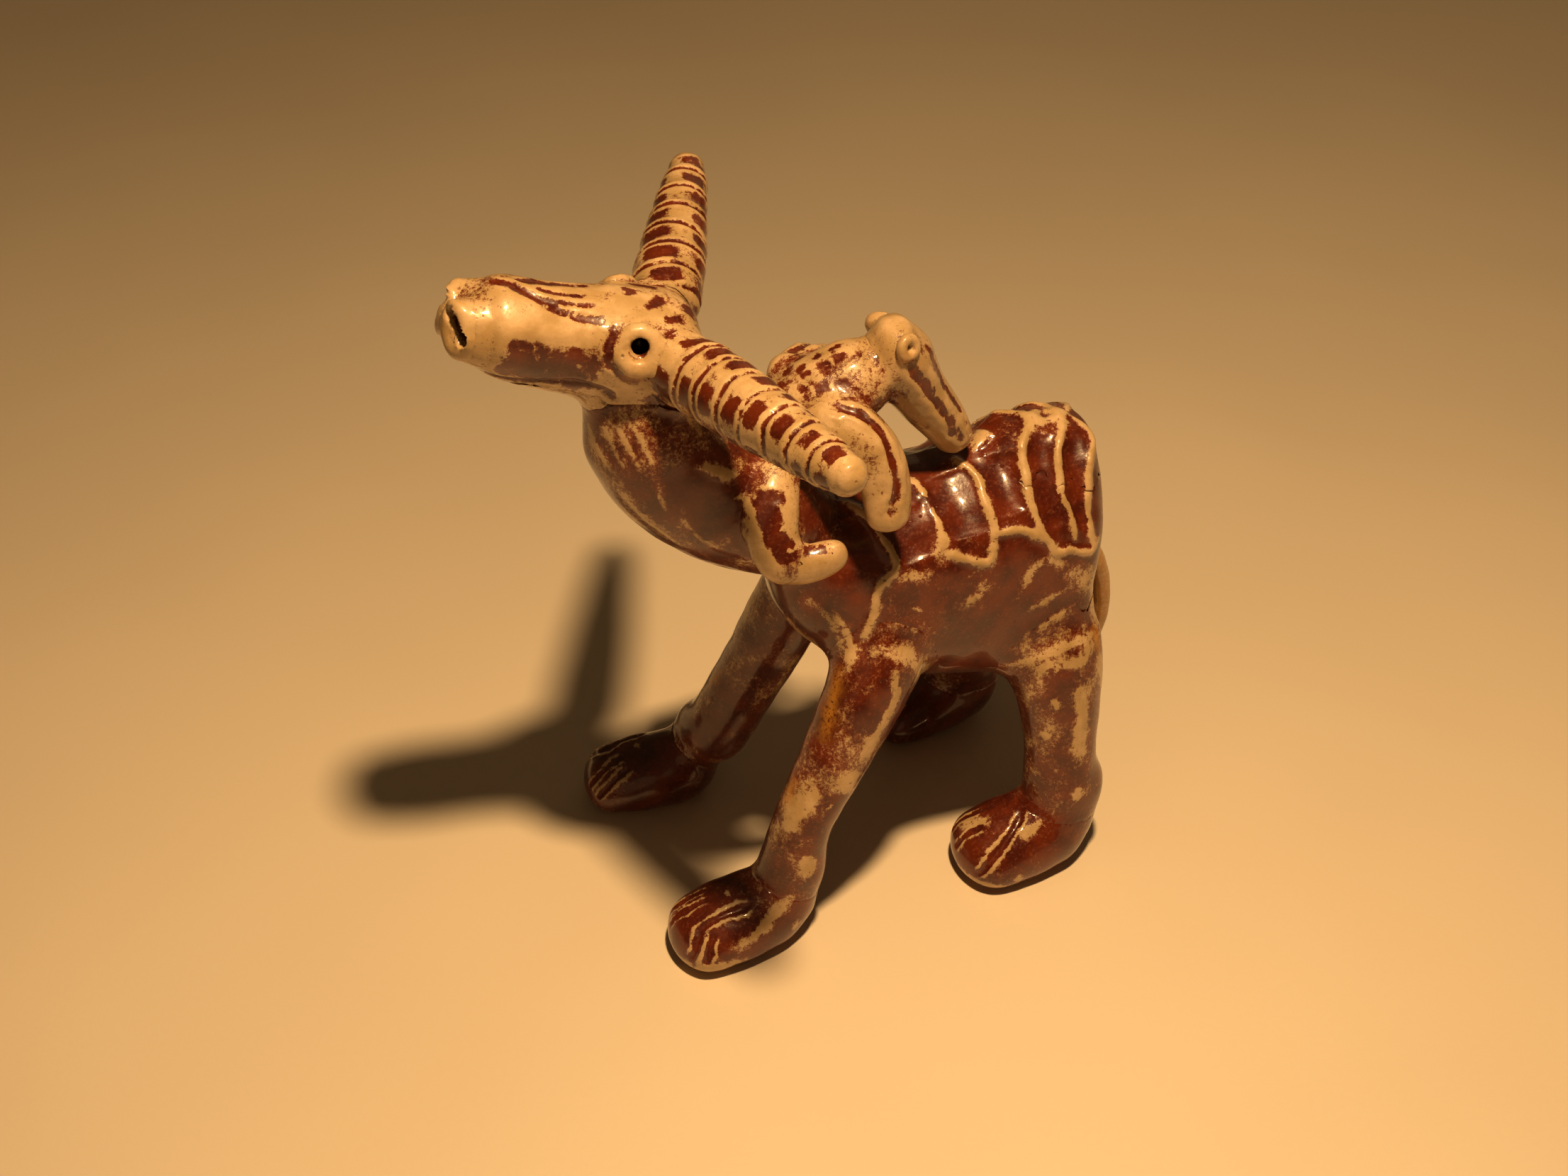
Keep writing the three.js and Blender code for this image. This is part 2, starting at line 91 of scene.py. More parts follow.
# Extra clay at each heel, where the leg runs down into the paw without a waist: its radius in mm.
HEELS = {"left_fore_paw": 5.4, "right_fore_paw": 4.9, "left_hind_paw": 5.3, "right_hind_paw": 4.9}
HEEL_BLEND = 3 * MM
# The glaze slot of each lump; the lumps that are not named are mottled.
SLOT_OF = {lump: "oxblood_glaze" for lump in ("torso", "hump") + PAWS}
SLOT_OF.update({lump: "cream_glaze" for lump in FACE + EYES + RIDER_EYES + RIDER_FEET + ("rider_head",)})
# Lumps that came out of the dip paler than the rest of their slot, and the one with amber all over it.
TONE = {"rider_body": 0.38, "right_horn": 0.15, "rider_left_arm": 0.25, "rider_right_arm": 0.25}
AMBER_TONE = {"tail": 0.75}

# The clay's grid: the room round the figure and the depth of the distance band, in grid steps.
GRID_ROOM = 14
LUMP_ROOM = 10
BAND = 8.0
# A lump that touches itself in a line is opened there: how often it is tried, and by how many grid steps.
PINCH_ROUNDS, PINCH_GAP = 6, 0.4
# How often points are moved onto the skin and the cut, and the share of the way they stay short of it.
SNAP_ROUNDS, KEEP_APART = 3, 0.02
# How far big seams are filled: the blur of the filling, how near a seam it reaches, and how soft its rim is.
FILL_BLUR = 3.2 * MM
FILL_REACH = 4.6 * MM
FILL_RIM = 1.2 * MM
# The blur that leaves the figure's broad shape, which tells crowns from hollows.
SWELL_BLUR = 1.6 * MM
# From this width a mark is a dent that the whole skin follows.
WIDE_MARK = 1.8 * MM
# The deepest and the highest that fine marks may move the skin, and the height of the slow ripple.
DEEPEST, HIGHEST, RIPPLE = -0.8 * MM, 0.75 * MM, 0.12 * MM


def boxes():
    """Each node's lowest and highest corner as arrays."""
    return {name: tuple(np.array(corner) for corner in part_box(name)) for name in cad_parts}


BOX = boxes()


def spot(lump, *share):
    """A point given as shares of a lump's own box, 0 at its lowest corner and 1 at its highest."""
    low, high = BOX[lump]
    return low + (high - low) * np.array(share, float)


# ---------------------------------------------------------------- the clay, as a field of distances


class Clay:
    """The lumps' distance fields on one grid, blended at their seams, and the field's slope and curvature."""

    def __init__(self, grain, seam, finish):
        self.grain = grain
        low = np.min([BOX[name][0] for name in BOX], axis=0)
        high = np.max([BOX[name][1] for name in BOX], axis=0)
        self.first = np.floor(low / grain).astype(int) - GRID_ROOM
        self.shape = tuple(np.ceil(high / grain).astype(int) + GRID_ROOM - self.first)
        self.reach = BAND * grain
        self.lumps = {name: self.measure(name) for name in ALL_LUMPS}
        self.nearest = np.full(self.shape, self.reach, np.float32)
        self.second = np.full(self.shape, self.reach, np.float32)
        self.owner = np.full(self.shape, -1, np.int8)
        blended = np.full(self.shape, self.reach, np.float32)
        crisp = np.full(self.shape, self.reach, np.float32)
        small = np.full(self.shape, self.reach, np.float32)
        for index, name in enumerate(ALL_LUMPS):
            place, own = self.lumps[name]
            nearest, second, owner = self.nearest[place], self.second[place], self.owner[place]
            closer = own < nearest
            second[...] = np.where(closer, nearest, np.minimum(second, own))
            owner[closer] = index
            nearest[...] = np.minimum(nearest, own)
            width = seam * (0.35 if name in CRISP_LUMPS else 1.0)
            blended[place] = smooth_union(blended[place], own, width)
            if name in CRISP_LUMPS:
                crisp[place] = np.minimum(crisp[place], own)
            if name in SMALL_LUMPS:
                small[place] = np.minimum(small[place], own)
        for paw, radius in HEELS.items():
            near = 0.54 if paw.startswith("left") else 0.46
            top, foot = spot(paw, .94, near, 1.12), spot(paw, .88, near, .46)
            self.press(blended, capsule(top, foot, radius * MM), top, foot, radius * MM, HEEL_BLEND)
        broad = soften(blended, finish / grain)
        filled = soften(broad, FILL_BLUR / grain)
        joint = np.clip(1.6 - (np.abs(self.nearest) + np.abs(self.second)) / FILL_REACH, 0, 1)
        joint = soften(joint, FILL_RIM / grain)
        fine = soften(blended, 0.35 * finish / grain)
        keep = np.clip(1.3 - crisp / (0.7 * MM), 0, 1)
        broad += (filled - broad) * joint * np.clip(small / (2.0 * MM) - 0.3, 0, 1)
        self.skin = broad + (fine - broad) * keep
        self.skin[:, :, :int(round(-self.first[2]))] = self.reach

    def find_swell(self):
        """Blurs the skin to the figure's broad shape, once the dents are in and before the holes."""
        self.swell = soften(self.skin, SWELL_BLUR / self.grain)

    def measure(self, name):
        """One lump's narrow-band distance field, in a box of its own with room all round."""
        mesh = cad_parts[name].data
        points = np.empty(len(mesh.vertices) * 3, np.float32)
        mesh.vertices.foreach_get("co", points)
        mesh.calc_loop_triangles()
        corners = np.empty(len(mesh.loop_triangles) * 3, np.int32)
        mesh.loop_triangles.foreach_get("vertices", corners)
        points, corners = weld(points.reshape(-1, 3), corners.reshape(-1, 3))
        grid = openvdb.FloatGrid.createLevelSetFromPolygons(
            points.astype(np.float32), triangles=corners.astype(np.int32),
            transform=openvdb.createLinearTransform(voxelSize=self.grain), halfWidth=BAND)
        low = np.floor(points.min(0) / self.grain).astype(int) - LUMP_ROOM
        high = np.ceil(points.max(0) / self.grain).astype(int) + LUMP_ROOM
        low = np.maximum(low, self.first)
        high = np.minimum(high, self.first + self.shape)
        own = np.empty(tuple(high - low), np.float32)
        grid.copyToArray(own, ijk=tuple(int(v) for v in low))
        start = low - self.first
        return tuple(slice(a, a + n) for a, n in zip(start, own.shape)), own

    def around(self, start, end, room):
        """The part of the grid round a line, and its points in metres."""
        low, high = np.minimum(start, end) - room, np.maximum(start, end) + room
        a = np.maximum(np.floor(low / self.grain).astype(int) - self.first, 0)
        b = np.minimum(np.ceil(high / self.grain).astype(int) - self.first, self.shape)
        axes = [(np.arange(a[k], b[k]) + self.first[k]) * self.grain for k in range(3)]
        return tuple(slice(p, q) for p, q in zip(a, b)), np.stack(np.meshgrid(*axes, indexing="ij"), axis=-1)

    def press(self, field, tool, start, end, radius, width):
        """Blends clay onto a field where tool(points) is negative."""
        place, points = self.around(start, end, radius + 2 * width)
        field[place] = smooth_union(field[place], tool(points).astype(np.float32), width)

    def dent(self, mark):
        """Sinks or raises the skin itself along a wide mark, so that lumps that share it stay level."""
        place, points = self.around(mark.line.min(0), mark.line.max(0), 2.6 * mark.width)
        skin = self.skin[place]
        near = np.abs(skin) < 0.98 * self.reach
        away, along = along_line(points[near], mark.line)
        core = np.exp(-(away / mark.width) ** mark.blunt) * mark.ends(along)
        skin[near] -= (mark.lift * MM * core).astype(np.float32)

    def carve(self, tool, start, end, radius):
        """Cuts the skin where tool(points) is negative."""
        place, points = self.around(start, end, radius + 1 * MM)
        self.skin[place] = np.maximum(self.skin[place], -tool(points)).astype(np.float32)

    def sample(self, field, points, offset=(0, 0, 0)):
        """A field's values at points, between the grid's own."""
        where = points / self.grain - self.first - np.array(offset)
        where = np.clip(where, 0, np.array(field.shape) - 1.001)
        base = where.astype(int)
        part = where - base
        total = np.zeros(len(points))
        for corner in range(8):
            step = np.array([corner >> 2 & 1, corner >> 1 & 1, corner & 1])
            weight = np.prod(np.where(step, part, 1 - part), axis=1)
            index = base + step
            total += weight * field[index[:, 0], index[:, 1], index[:, 2]]
        return total

    def slope(self, field, points, offset=(0, 0, 0)):
        """The field's direction of steepest rise at points, of its own length."""
        rise = np.empty((len(points), 3))
        for axis in range(3):
            step = np.zeros(3)
            step[axis] = 0.5 * self.grain
            rise[:, axis] = (self.sample(field, points + step, offset)
                             - self.sample(field, points - step, offset)) / self.grain
        return rise

    def take(self, name):
        """A lump's part of the blended clay as one closed mesh: points and quads."""
        place, own = self.lumps[name]
        index = ALL_LUMPS.index(name)
        rest = np.where(self.owner[place] == index, self.second[place], self.nearest[place])
        share = (0.5 * (own - rest)).astype(np.float32)
        skin = self.skin[place]
        start = np.array([s.start for s in place])
        solid = np.maximum(skin, share)
        for _ in range(PINCH_ROUNDS):
            grid = openvdb.FloatGrid(float(self.reach))
            grid.transform = openvdb.createLinearTransform(voxelSize=self.grain)
            grid.copyFromArray(solid, ijk=tuple(int(v) for v in start + self.first))
            points, _, quads = grid.convertToPolygons(isovalue=0.0, adaptivity=0.0)
            points = points.astype(float)
            quads = biggest_island(len(points), quads)
            pinches = pinched_edges(quads)
            for middle in points[pinches].mean(axis=1) / self.grain - self.first - start:
                block = tuple(slice(max(a - 1, 0), a + 2) for a in np.round(middle).astype(int))
                solid[block] = np.maximum(solid[block], PINCH_GAP * self.grain)
            if not len(pinches):
                break
        points, quads = drop_loose(points, quads)
        loose = points
        for _ in range(SNAP_ROUNDS):
            points = self.snap(points, share, start)
        points = points + KEEP_APART * (loose - points)
        if signed_volume(points, quads) < 0:
            quads = quads[:, ::-1]
        return points, quads

    def snap(self, points, share, start):
        """Moves points onto the skin, onto the cut, or where the two meet onto both."""
        skin, cut = self.sample(self.skin, points), self.sample(share, points, start)
        up, across = self.slope(self.skin, points), self.slope(share, points, start)
        near = 0.8 * self.grain
        both = (np.abs(skin) < near) & (np.abs(cut) < near)
        aa, bb, ab = (up * up).sum(1) + 1e-9, (across * across).sum(1) + 1e-9, (up * across).sum(1)
        both &= ab * ab < 0.8 * aa * bb
        det = np.where(both, aa * bb - ab * ab, 1.0)
        first, second = (bb * skin - ab * cut) / det, (aa * cut - ab * skin) / det
        on_skin = skin > cut
        alone = np.where(on_skin, skin / aa, cut / bb)[:, None] * np.where(on_skin[:, None], up, across)
        step = np.where(both[:, None], first[:, None] * up + second[:, None] * across, alone)
        size = np.linalg.norm(step, axis=1, keepdims=True)
        return points - step * np.minimum(1, 0.5 * self.grain / (size + 1e-12))


def smooth_union(a, b, width):
    """The smaller of two distances, with a fillet of about that width where they are alike."""
    mix = np.clip(0.5 + 0.5 * (a - b) / width, 0, 1)
    return a + (b - a) * mix - width * mix * (1 - mix)


def soften(field, sigma):
    """The field blurred by a bell curve of sigma grid steps."""
    reach = max(1, int(math.ceil(2.4 * sigma)))
    bell = np.exp(-0.5 * (np.arange(reach + 1) / sigma) ** 2)
    bell /= bell[0] + 2 * bell[1:].sum()
    for axis in range(3):
        field = np.moveaxis(field, axis, 0)
        out = field * np.float32(bell[0])
        for step in range(1, reach + 1):
            weight = np.float32(bell[step])
            out[step:] += weight * field[:-step]
            out[:step] += weight * field[:1]
            out[:-step] += weight * field[step:]
            out[-step:] += weight * field[-1:]
        field = np.moveaxis(out, 0, axis)
    return np.ascontiguousarray(field)


def weld(points, corners):
    """Joins vertices that stand in one place."""
    _, index, inverse = np.unique(np.round(points, 7), axis=0, return_index=True, return_inverse=True)
    corners = inverse.reshape(-1)[corners]
    whole = ((corners[:, 0] != corners[:, 1]) & (corners[:, 1] != corners[:, 2])
             & (corners[:, 0] != corners[:, 2]))
    return points[index], corners[whole]


def quad_edges(quads):
    """Every side of every quad, as pairs of vertices."""
    return np.concatenate([quads[:, [k, (k + 1) % 4]] for k in range(4)])


def biggest_island(count, quads):
    """The quads of the largest connected body."""
    root = np.arange(count)
    sides = quad_edges(quads)
    while True:
        a, b = root[sides[:, 0]], root[sides[:, 1]]
        if (a == b).all():
            break
        np.minimum.at(root, np.maximum(a, b), np.minimum(a, b))
        while (root[root] != root).any():
            root = root[root]
    names, counts = np.unique(root[quads[:, 0]], return_counts=True)
    return quads[root[quads[:, 0]] == names[counts.argmax()]]


def pinched_edges(quads):
    """The sides that more than two quads share, where the clay would touch itself in a line."""
    sides = np.sort(quad_edges(quads).astype(np.int64), axis=1)
    count = int(quads.max()) + 1
    keys, uses = np.unique(sides[:, 0] * count + sides[:, 1], return_counts=True)
    keys = keys[uses > 2]
    return np.stack([keys // count, keys % count], axis=1)


def drop_loose(points, quads):
    """Leaves out the points that no quad uses."""
    used = np.unique(quads)
    index = np.zeros(len(points), int)
    index[used] = np.arange(len(used))
    return points[used], index[quads]


def signed_volume(points, quads):
    """Six times the volume that the quads close, positive when they face out."""
    a, b, c, d = (points[quads[:, k]] for k in range(4))
    return float((np.cross(b - a, c - a) * a).sum() + (np.cross(c - a, d - a) * a).sum())


def spread(values, sides, rounds):
    """Evens values out between neighbours, a few rounds of it."""
    count = np.bincount(sides.ravel(), minlength=len(values)).astype(float)
    for _ in range(rounds):
        total = np.bincount(sides[:, 0], values[sides[:, 1]], len(values))
        total += np.bincount(sides[:, 1], values[sides[:, 0]], len(values))
        values = 0.5 * values + 0.5 * total / np.maximum(count, 1)
    return values


# ---------------------------------------------------------------- marks pressed and painted on the clay


class Mark:
    """A stroke of a tool or of glaze along a line on the skin."""

    def __init__(self, line, width, lift=0.0, lip=0.0, taper=0.25, blunt=2.0, **paint):
        self.line, self.width, self.lift, self.lip = np.array(line, float), width * MM, lift, lip
        self.taper, self.blunt, self.paint = taper, blunt, paint

    def settle(self, clay):
        """Draws the line again as a smooth one of close points, and lays it on the skin."""
        line = smooth_line(self.line, 0.8 * MM)
        for _ in range(4):
            up = clay.slope(clay.skin, line)
            line = line - up * (clay.sample(clay.skin, line) / ((up * up).sum(1) + 0.05))[:, None]
        self.line = line
        return self

    def wide(self):
        """Whether the mark is a dent that the whole skin follows."""
        return self.width > WIDE_MARK

    def ends(self, along):
        """How much of the stroke is left towards its two ends."""
        if not self.taper:
            return np.ones(len(along))
        return np.sqrt(np.clip(along / self.taper, 0, 1) * np.clip((1 - along) / self.taper, 0, 1))

    def apply(self, points, sheet, ripple):
        """Adds what the mark does to each point near it."""
        room = 3.2 * self.width
        near = ((points > self.line.min(0) - room) & (points < self.line.max(0) + room)).all(1)
        index = np.nonzero(near)[0]
        if not len(index):
            return
        away, along = along_line(points[index], self.line)
        away = away * (1 + 0.42 * ripple[index]) / self.width
        ends = self.ends(along)
        core = np.exp(-away ** self.blunt) * ends
        sides = np.exp(-((away - 1.7) / 0.6) ** 2) * ends
        if not self.wide():
            sheet["lift"][index] += (self.lift * core + self.lip * sides) * MM
        for kind, amount in self.paint.items():
            if kind == "edge_cream":
                sheet["cream"][index] = np.maximum(sheet["cream"][index], amount * sides)
            else:
                sheet[kind][index] = np.maximum(sheet[kind][index], amount * core)


def smooth_line(line, step):
    """A Catmull-Rom curve through the points, at about that step."""
    if len(line) < 2:
        return np.repeat(line, 2, axis=0) + [[0, 0, 0], [0, 0, 0.05 * MM]]
    ends = np.vstack([2 * line[0] - line[1], line, 2 * line[-1] - line[-2]])
    out = []
    for a, b, c, d in zip(ends, ends[1:], ends[2:], ends[3:]):
        count = max(2, int(np.linalg.norm(c - b) / step))
        t = (np.arange(count) / count)[:, None]
        out.append(0.5 * (2 * b + (c - a) * t + (2 * a - 5 * b + 4 * c - d) * t ** 2
                          + (3 * b - a - 3 * c + d) * t ** 3))
    return np.vstack(out + [line[-1:]])


def along_line(points, line):
    """How far each point is from the line, and how far along it from 0 to 1."""
    start, run = line[:-1], line[1:] - line[:-1]
    size = (run * run).sum(1) + 1e-15
    reach = np.concatenate([[0], np.cumsum(np.sqrt(size))])
    gap = points[:, None, :] - start[None]
    t = np.clip((gap * run).sum(2) / size, 0, 1)
    away = np.linalg.norm(gap - t[..., None] * run, axis=2)
    best = away.argmin(1)
    rows = np.arange(len(points))
    return away[rows, best], (reach[best] + t[rows, best] * np.sqrt(size)[best]) / reach[-1]


def other_side(lump):
    """The lump's twin on the beast's other side, or the lump itself."""
    for one, other in (("left_", "right_"), ("right_", "left_")):
        if lump.startswith(one):
            return other + lump[len(one):]
        if lump.startswith("rider_" + one):
            return "rider_" + other + lump[len("rider_" + one):]
    return lump


def draw(lump, shares, width, both=True, **how):
    """A mark through points given as shares of the lump's box, and its twin on the other side."""
    made = [Mark([spot(lump, *share) for share in shares], width, **how)]
    if both:
        twin = [spot(other_side(lump), u, 1 - v, w) for u, v, w in shares]
        made.append(Mark(twin, width, **how))
    return made


def strokes(lump, lines, both=True, **how):
    """Marks on a lump, all in one manner, along lines that are given with their widths."""
    return [mark for line, width in lines for mark in draw(lump, line, width, both, **how)]


VEIN_WIDTH = 0.72
VEIN = dict(lift=0.60, cream=1.0, taper=0.12)
SMEAR = dict(lift=0.06, cream=0.62, taper=0.4)
HALO = dict(lift=0.0, cream=0.42, taper=0.3)
PATCH = dict(lift=-0.1, red=1.0, taper=0.12, blunt=4.0)
DENT = dict(lift=-0.95, red=0.6, taper=0.3)
TOE = dict(lift=-.5, lip=.2, red=1.0, edge_cream=.85, taper=.12)


def trunk_marks():
    """Pressed flutes and raised cream veins over the back, hump and haunch, and a red patch painted for the
    rider's head shadow.
    """
    veins = (
        [(.185, .40, .96), (.227, .34, .952), (.269, .17, .88), (.290, .10, .84), (.290, .07, .79),
         (.238, .07, .717), (.217, .05, .59), (.185, .03, .517)],
        [(.36, .42, 1.0), (.417, .37, .970), (.438, .17, .916), (.438, .08, .807)],
        [(.54, .42, 1.05), (.590, .32, .970), (.585, .20, .916), (.595, .11, .861), (.585, .07, .807)],
        [(.80, .60, 1.10), (.785, .47, 1.097), (.743, .35, 1.079), (.722, .26, 1.024), (.711, .17, .952),
         (.732, .08, .807), (.753, .05, .753)],
        [(.838, .56, 1.09), (.890, .50, 1.085), (.870, .38, 1.07), (.845, .29, 1.06), (.817, .20, 1.024),
         (.815, .14, .952), (.838, .11, .843), (.838, .05, .717)],
        [(.911, .50, 1.085), (.958, .38, 1.042), (.964, .29, 1.024), (.932, .20, .988),
         (.901, .14, .916), (.890, .11, .825), (.901, .05, .644)],
        [(.438, .08, .807), (.490, .05, .771), (.564, .05, .735), (.585, .08, .807)],
        [(.585, .08, .825), (.659, .08, .825), (.743, .05, .771), (.774, .05, .699), (.817, .05, .699),
         (.885, .06, .66), (.93, .10, .70)],
        [(.785, .47, 1.097), (.81, .52, 1.10), (.838, .56, 1.09)],
    )
    made = strokes("torso", [(line, VEIN_WIDTH) for line in veins], **VEIN)
    made += strokes("torso", (
        ([(.280, .05, .735), (.343, .05, .745), (.395, .03, .735)], 1.5),
        ([(.469, .02, .554), (.522, .02, .608), (.574, .02, .662)], 1.2),
        ([(.648, .02, .536), (.711, .03, .662), (.753, .03, .680), (.817, .03, .626)], 1.0),
        ([(.617, .08, .200), (.711, .05, .235), (.80, .03, .26), (.90, .03, .27)], .8),
        ([(.206, .02, .409), (.30, .04, .30), (.40, .06, .20)], 1.3),
        ([(.67, .03, .47), (.75, .02, .50), (.84, .02, .54)], 0.8),
        ([(.72, .03, .38), (.79, .02, .41), (.86, .02, .42)], 0.8),
        ([(.90, .06, .58), (.92, .08, .42), (.93, .10, .24)], 1.6),
        ([(.11, .13, .64), (.14, .10, .56), (.17, .06, .46)], 0.8),
        ([(.05, .22, .66), (.10, .14, .60), (.13, .10, .50), (.17, .06, .38)], 0.9),
        ([(.345, .02, .60), (.35, .02, .61)], 1.0),
        ([(.97, .30, .98), (1.0, .28, .80), (1.0, .25, .58)], .6),
        ([(.97, .42, 1.0), (1.0, .42, .82), (1.0, .40, .70)], .5),
        ([(.99, .2, .62), (1.0, .35, .56), (1.0, .5, .60)], .8),
        ([(.96, .12, .36), (.99, .25, .28), (.98, .36, .22)], 1.3),
        ([(.99, .36, .46), (1.0, .44, .36), (.99, .46, .24)], .9),
        ([(.0, .40, .55), (.04, .30, .42), (.10, .22, .30)], 1.0),
        ([(.30, .40, .02), (.45, .35, .0), (.62, .38, .02)], 1.2),
    ), **SMEAR)
    made += strokes("torso", (
        ([(.33, .25, .93), (.35, .12, .86), (.36, .07, .80)], 3.2),
        ([(.50, .38, .98), (.51, .20, .92), (.51, .09, .84)], 3.4),
        ([(.66, .36, 1.04), (.655, .22, .96), (.66, .12, .88)], 2.6),
        ([(.80, .38, 1.06), (.775, .25, 1.0), (.775, .13, .90), (.79, .08, .79)], 2.2),
        ([(.90, .38, 1.04), (.87, .24, 1.0), (.855, .15, .90), (.865, .10, .76)], 1.9),
        ([(.23, .30, .94), (.235, .14, .86), (.22, .08, .80)], 2.6),
    ), **DENT)
    made += strokes("torso", (
        ([(.62, .26, 1.0), (.65, .16, .92), (.67, .10, .84)], 2.2),
        ([(.40, .10, .86), (.43, .08, .80), (.47, .06, .78)], 1.5),
        ([(.26, .12, .86), (.25, .08, .78)], 1.3),
        ([(.72, .16, .95), (.73, .10, .86), (.75, .07, .80)], 1.2),
        ([(.80, .03, .60), (.88, .04, .55), (.90, .06, .45)], 2.2),
    ), **HALO)
    # Painted shadow: a red patch, pressed in a little, on the near side of the saddle where the rider's head
    # casts its shadow.
    made += draw("torso", [(.42, .30, .95), (.47, .2, .92)], 2.6, both=False, lift=-0.3, red=1.0)
    made += draw("hump", [(.04, .45, .55), (.02, .5, .7), (.08, .55, .85)], 2.0, both=False,
                 lift=0.5, cream=.5)
    return made + draw("tail", [(.8, .5, .9), (.9, .5, .5), (.9, .5, .1)], 2.2, both=False, amber=1.0)


def head_marks():
    """Streaks, patches and seams of the head, jaw and nostrils."""
    made = strokes("head", (
        ([(.16, .60, 1.0), (.21, .56, 1.0), (.29, .44, .92), (.38, .33, .82), (.48, .27, .74),
          (.57, .23, .71)], .85),
        ([(.22, .58, .99), (.26, .53, .96), (.34, .39, .88), (.47, .36, .80), (.55, .34, .76)], .6),
        ([(.27, .60, .95), (.42, .62, .87), (.56, .62, .79)], .8),
        ([(.33, .50, .90), (.44, .46, .83), (.53, .44, .78)], .5),
    ), both=False, lift=-0.22, lip=0.08, red=.95, edge_cream=.5, taper=.2)
    made += draw("head", [(.13, .17, .60), (.22, .16, .52), (.36, .14, .42), (.50, .09, .34)], 3.5, **PATCH)
    made += draw("head", [(.12, .19, .82), (.27, .19, .77), (.40, .17, .70), (.53, .15, .64)], 1.3,
                 lift=.25, cream=1.0, taper=.15)
    made += draw("head", [(.61, .20, .66), (.56, .12, .59), (.55, .08, .45), (.60, .05, .35),
                          (.66, .05, .29)], .55, lift=-.35, lip=.1, red=1.0, taper=.15)
    made += strokes("head", (
        ([(.71, .06, .17), (.76, .06, .08)], 1.3),
        ([(.78, .11, .55), (.83, .14, .48)], .8),
        ([(.80, .22, .62), (.85, .22, .61), (.90, .27, .56)], .6),
        ([(.74, .30, .72), (.80, .36, .72), (.84, .42, .70)], .6),
        ([(.68, .45, .76), (.74, .50, .75)], .5),
        ([(.93, .30, .60), (.96, .40, .62)], .8),
    ), lift=-.15, red=.95, taper=.2)
    made += draw("head", [(.95, .5, .62), (1.0, .5, .35)], 2.2, both=False, red=.7)
    made += draw("lower_jaw", [(-.02, .10, .92), (.2, .04, .9), (.5, .02, .88), (.8, .02, .82),
                               (1.0, .05, .7)], .5, lift=-.5, lip=.12, red=.9, taper=.08)
    made += draw("lower_jaw", [(.1, .3, .15), (.5, .25, .05), (.9, .25, .1)], 1.6, cream=.5)
    made += draw("left_nostril", [(.0, .72, .86), (.3, .75, .98), (.6, .7, .95)], 1.2, lift=.35, cream=1.0)
    made += draw("left_nostril", [(.75, .55, .96), (.78, .57, .97)], .8, both=False, amber=1.0)
    made += draw("left_nostril", [(.15, .85, .6), (.2, .8, .3)], 1.3, both=False, amber=.5)
    for share in ((.3, .4, .95), (.5, .3, .9), (.35, .6, .8), (.7, .45, .85)):
        made += draw("right_nostril", [share, [v + .04 for v in share]], .5, both=False, red=.9)
    return made


def neck_marks():
    """Fan of cream strokes under the jaw, streaks, and a red patch painted for the near horn's shadow on the
    neck's side.
    """
    made = strokes("neck", [(line, .36) for line in (
        [(.02, .50, .84), (.02, .36, .76), (.06, .26, .68)],
        [(.05, .37, .88), (.08, .27, .80), (.12, .19, .70)],
        [(.10, .26, .88), (.13, .19, .80), (.17, .13, .70)],
        [(.15, .22, .90), (.19, .15, .80), (.22, .11, .72)],
        [(.06, .25, .60), (.12, .15, .50), (.20, .09, .42)],
        [(.10, .20, .52), (.17, .11, .40), (.26, .07, .30)],
        [(.30, .05, .50), (.38, .04, .38), (.50, .04, .30)],
        [(.22, .10, .62), (.25, .07, .52)],
    )], lift=.05, cream=.55, taper=.45)
    # Painted shadow: a wide red patch, pressed in a little, where the near horn's shadow falls on the neck's
    # side, with its twin on the far side.
    made += draw("neck", [(.31, .06, .72), (.36, .04, .62), (.42, .03, .52), (.50, .04, .44)], 3.2, **PATCH)
    made += draw("neck", [(.37, .07, .72), (.46, .06, .66), (.55, .08, .62)], .9, lift=.2, cream=.9)
    made += draw("neck", [(.29, .22, .96), (.31, .16, .90)], 1.1, lift=-.1, red=.95)
    return made + draw("neck", [(.15, .3, .22), (.35, .16, .10), (.55, .12, .06), (.78, .12, .08),
                                (.9, .10, .12)], .6, lift=-.1, red=.9, taper=.1)


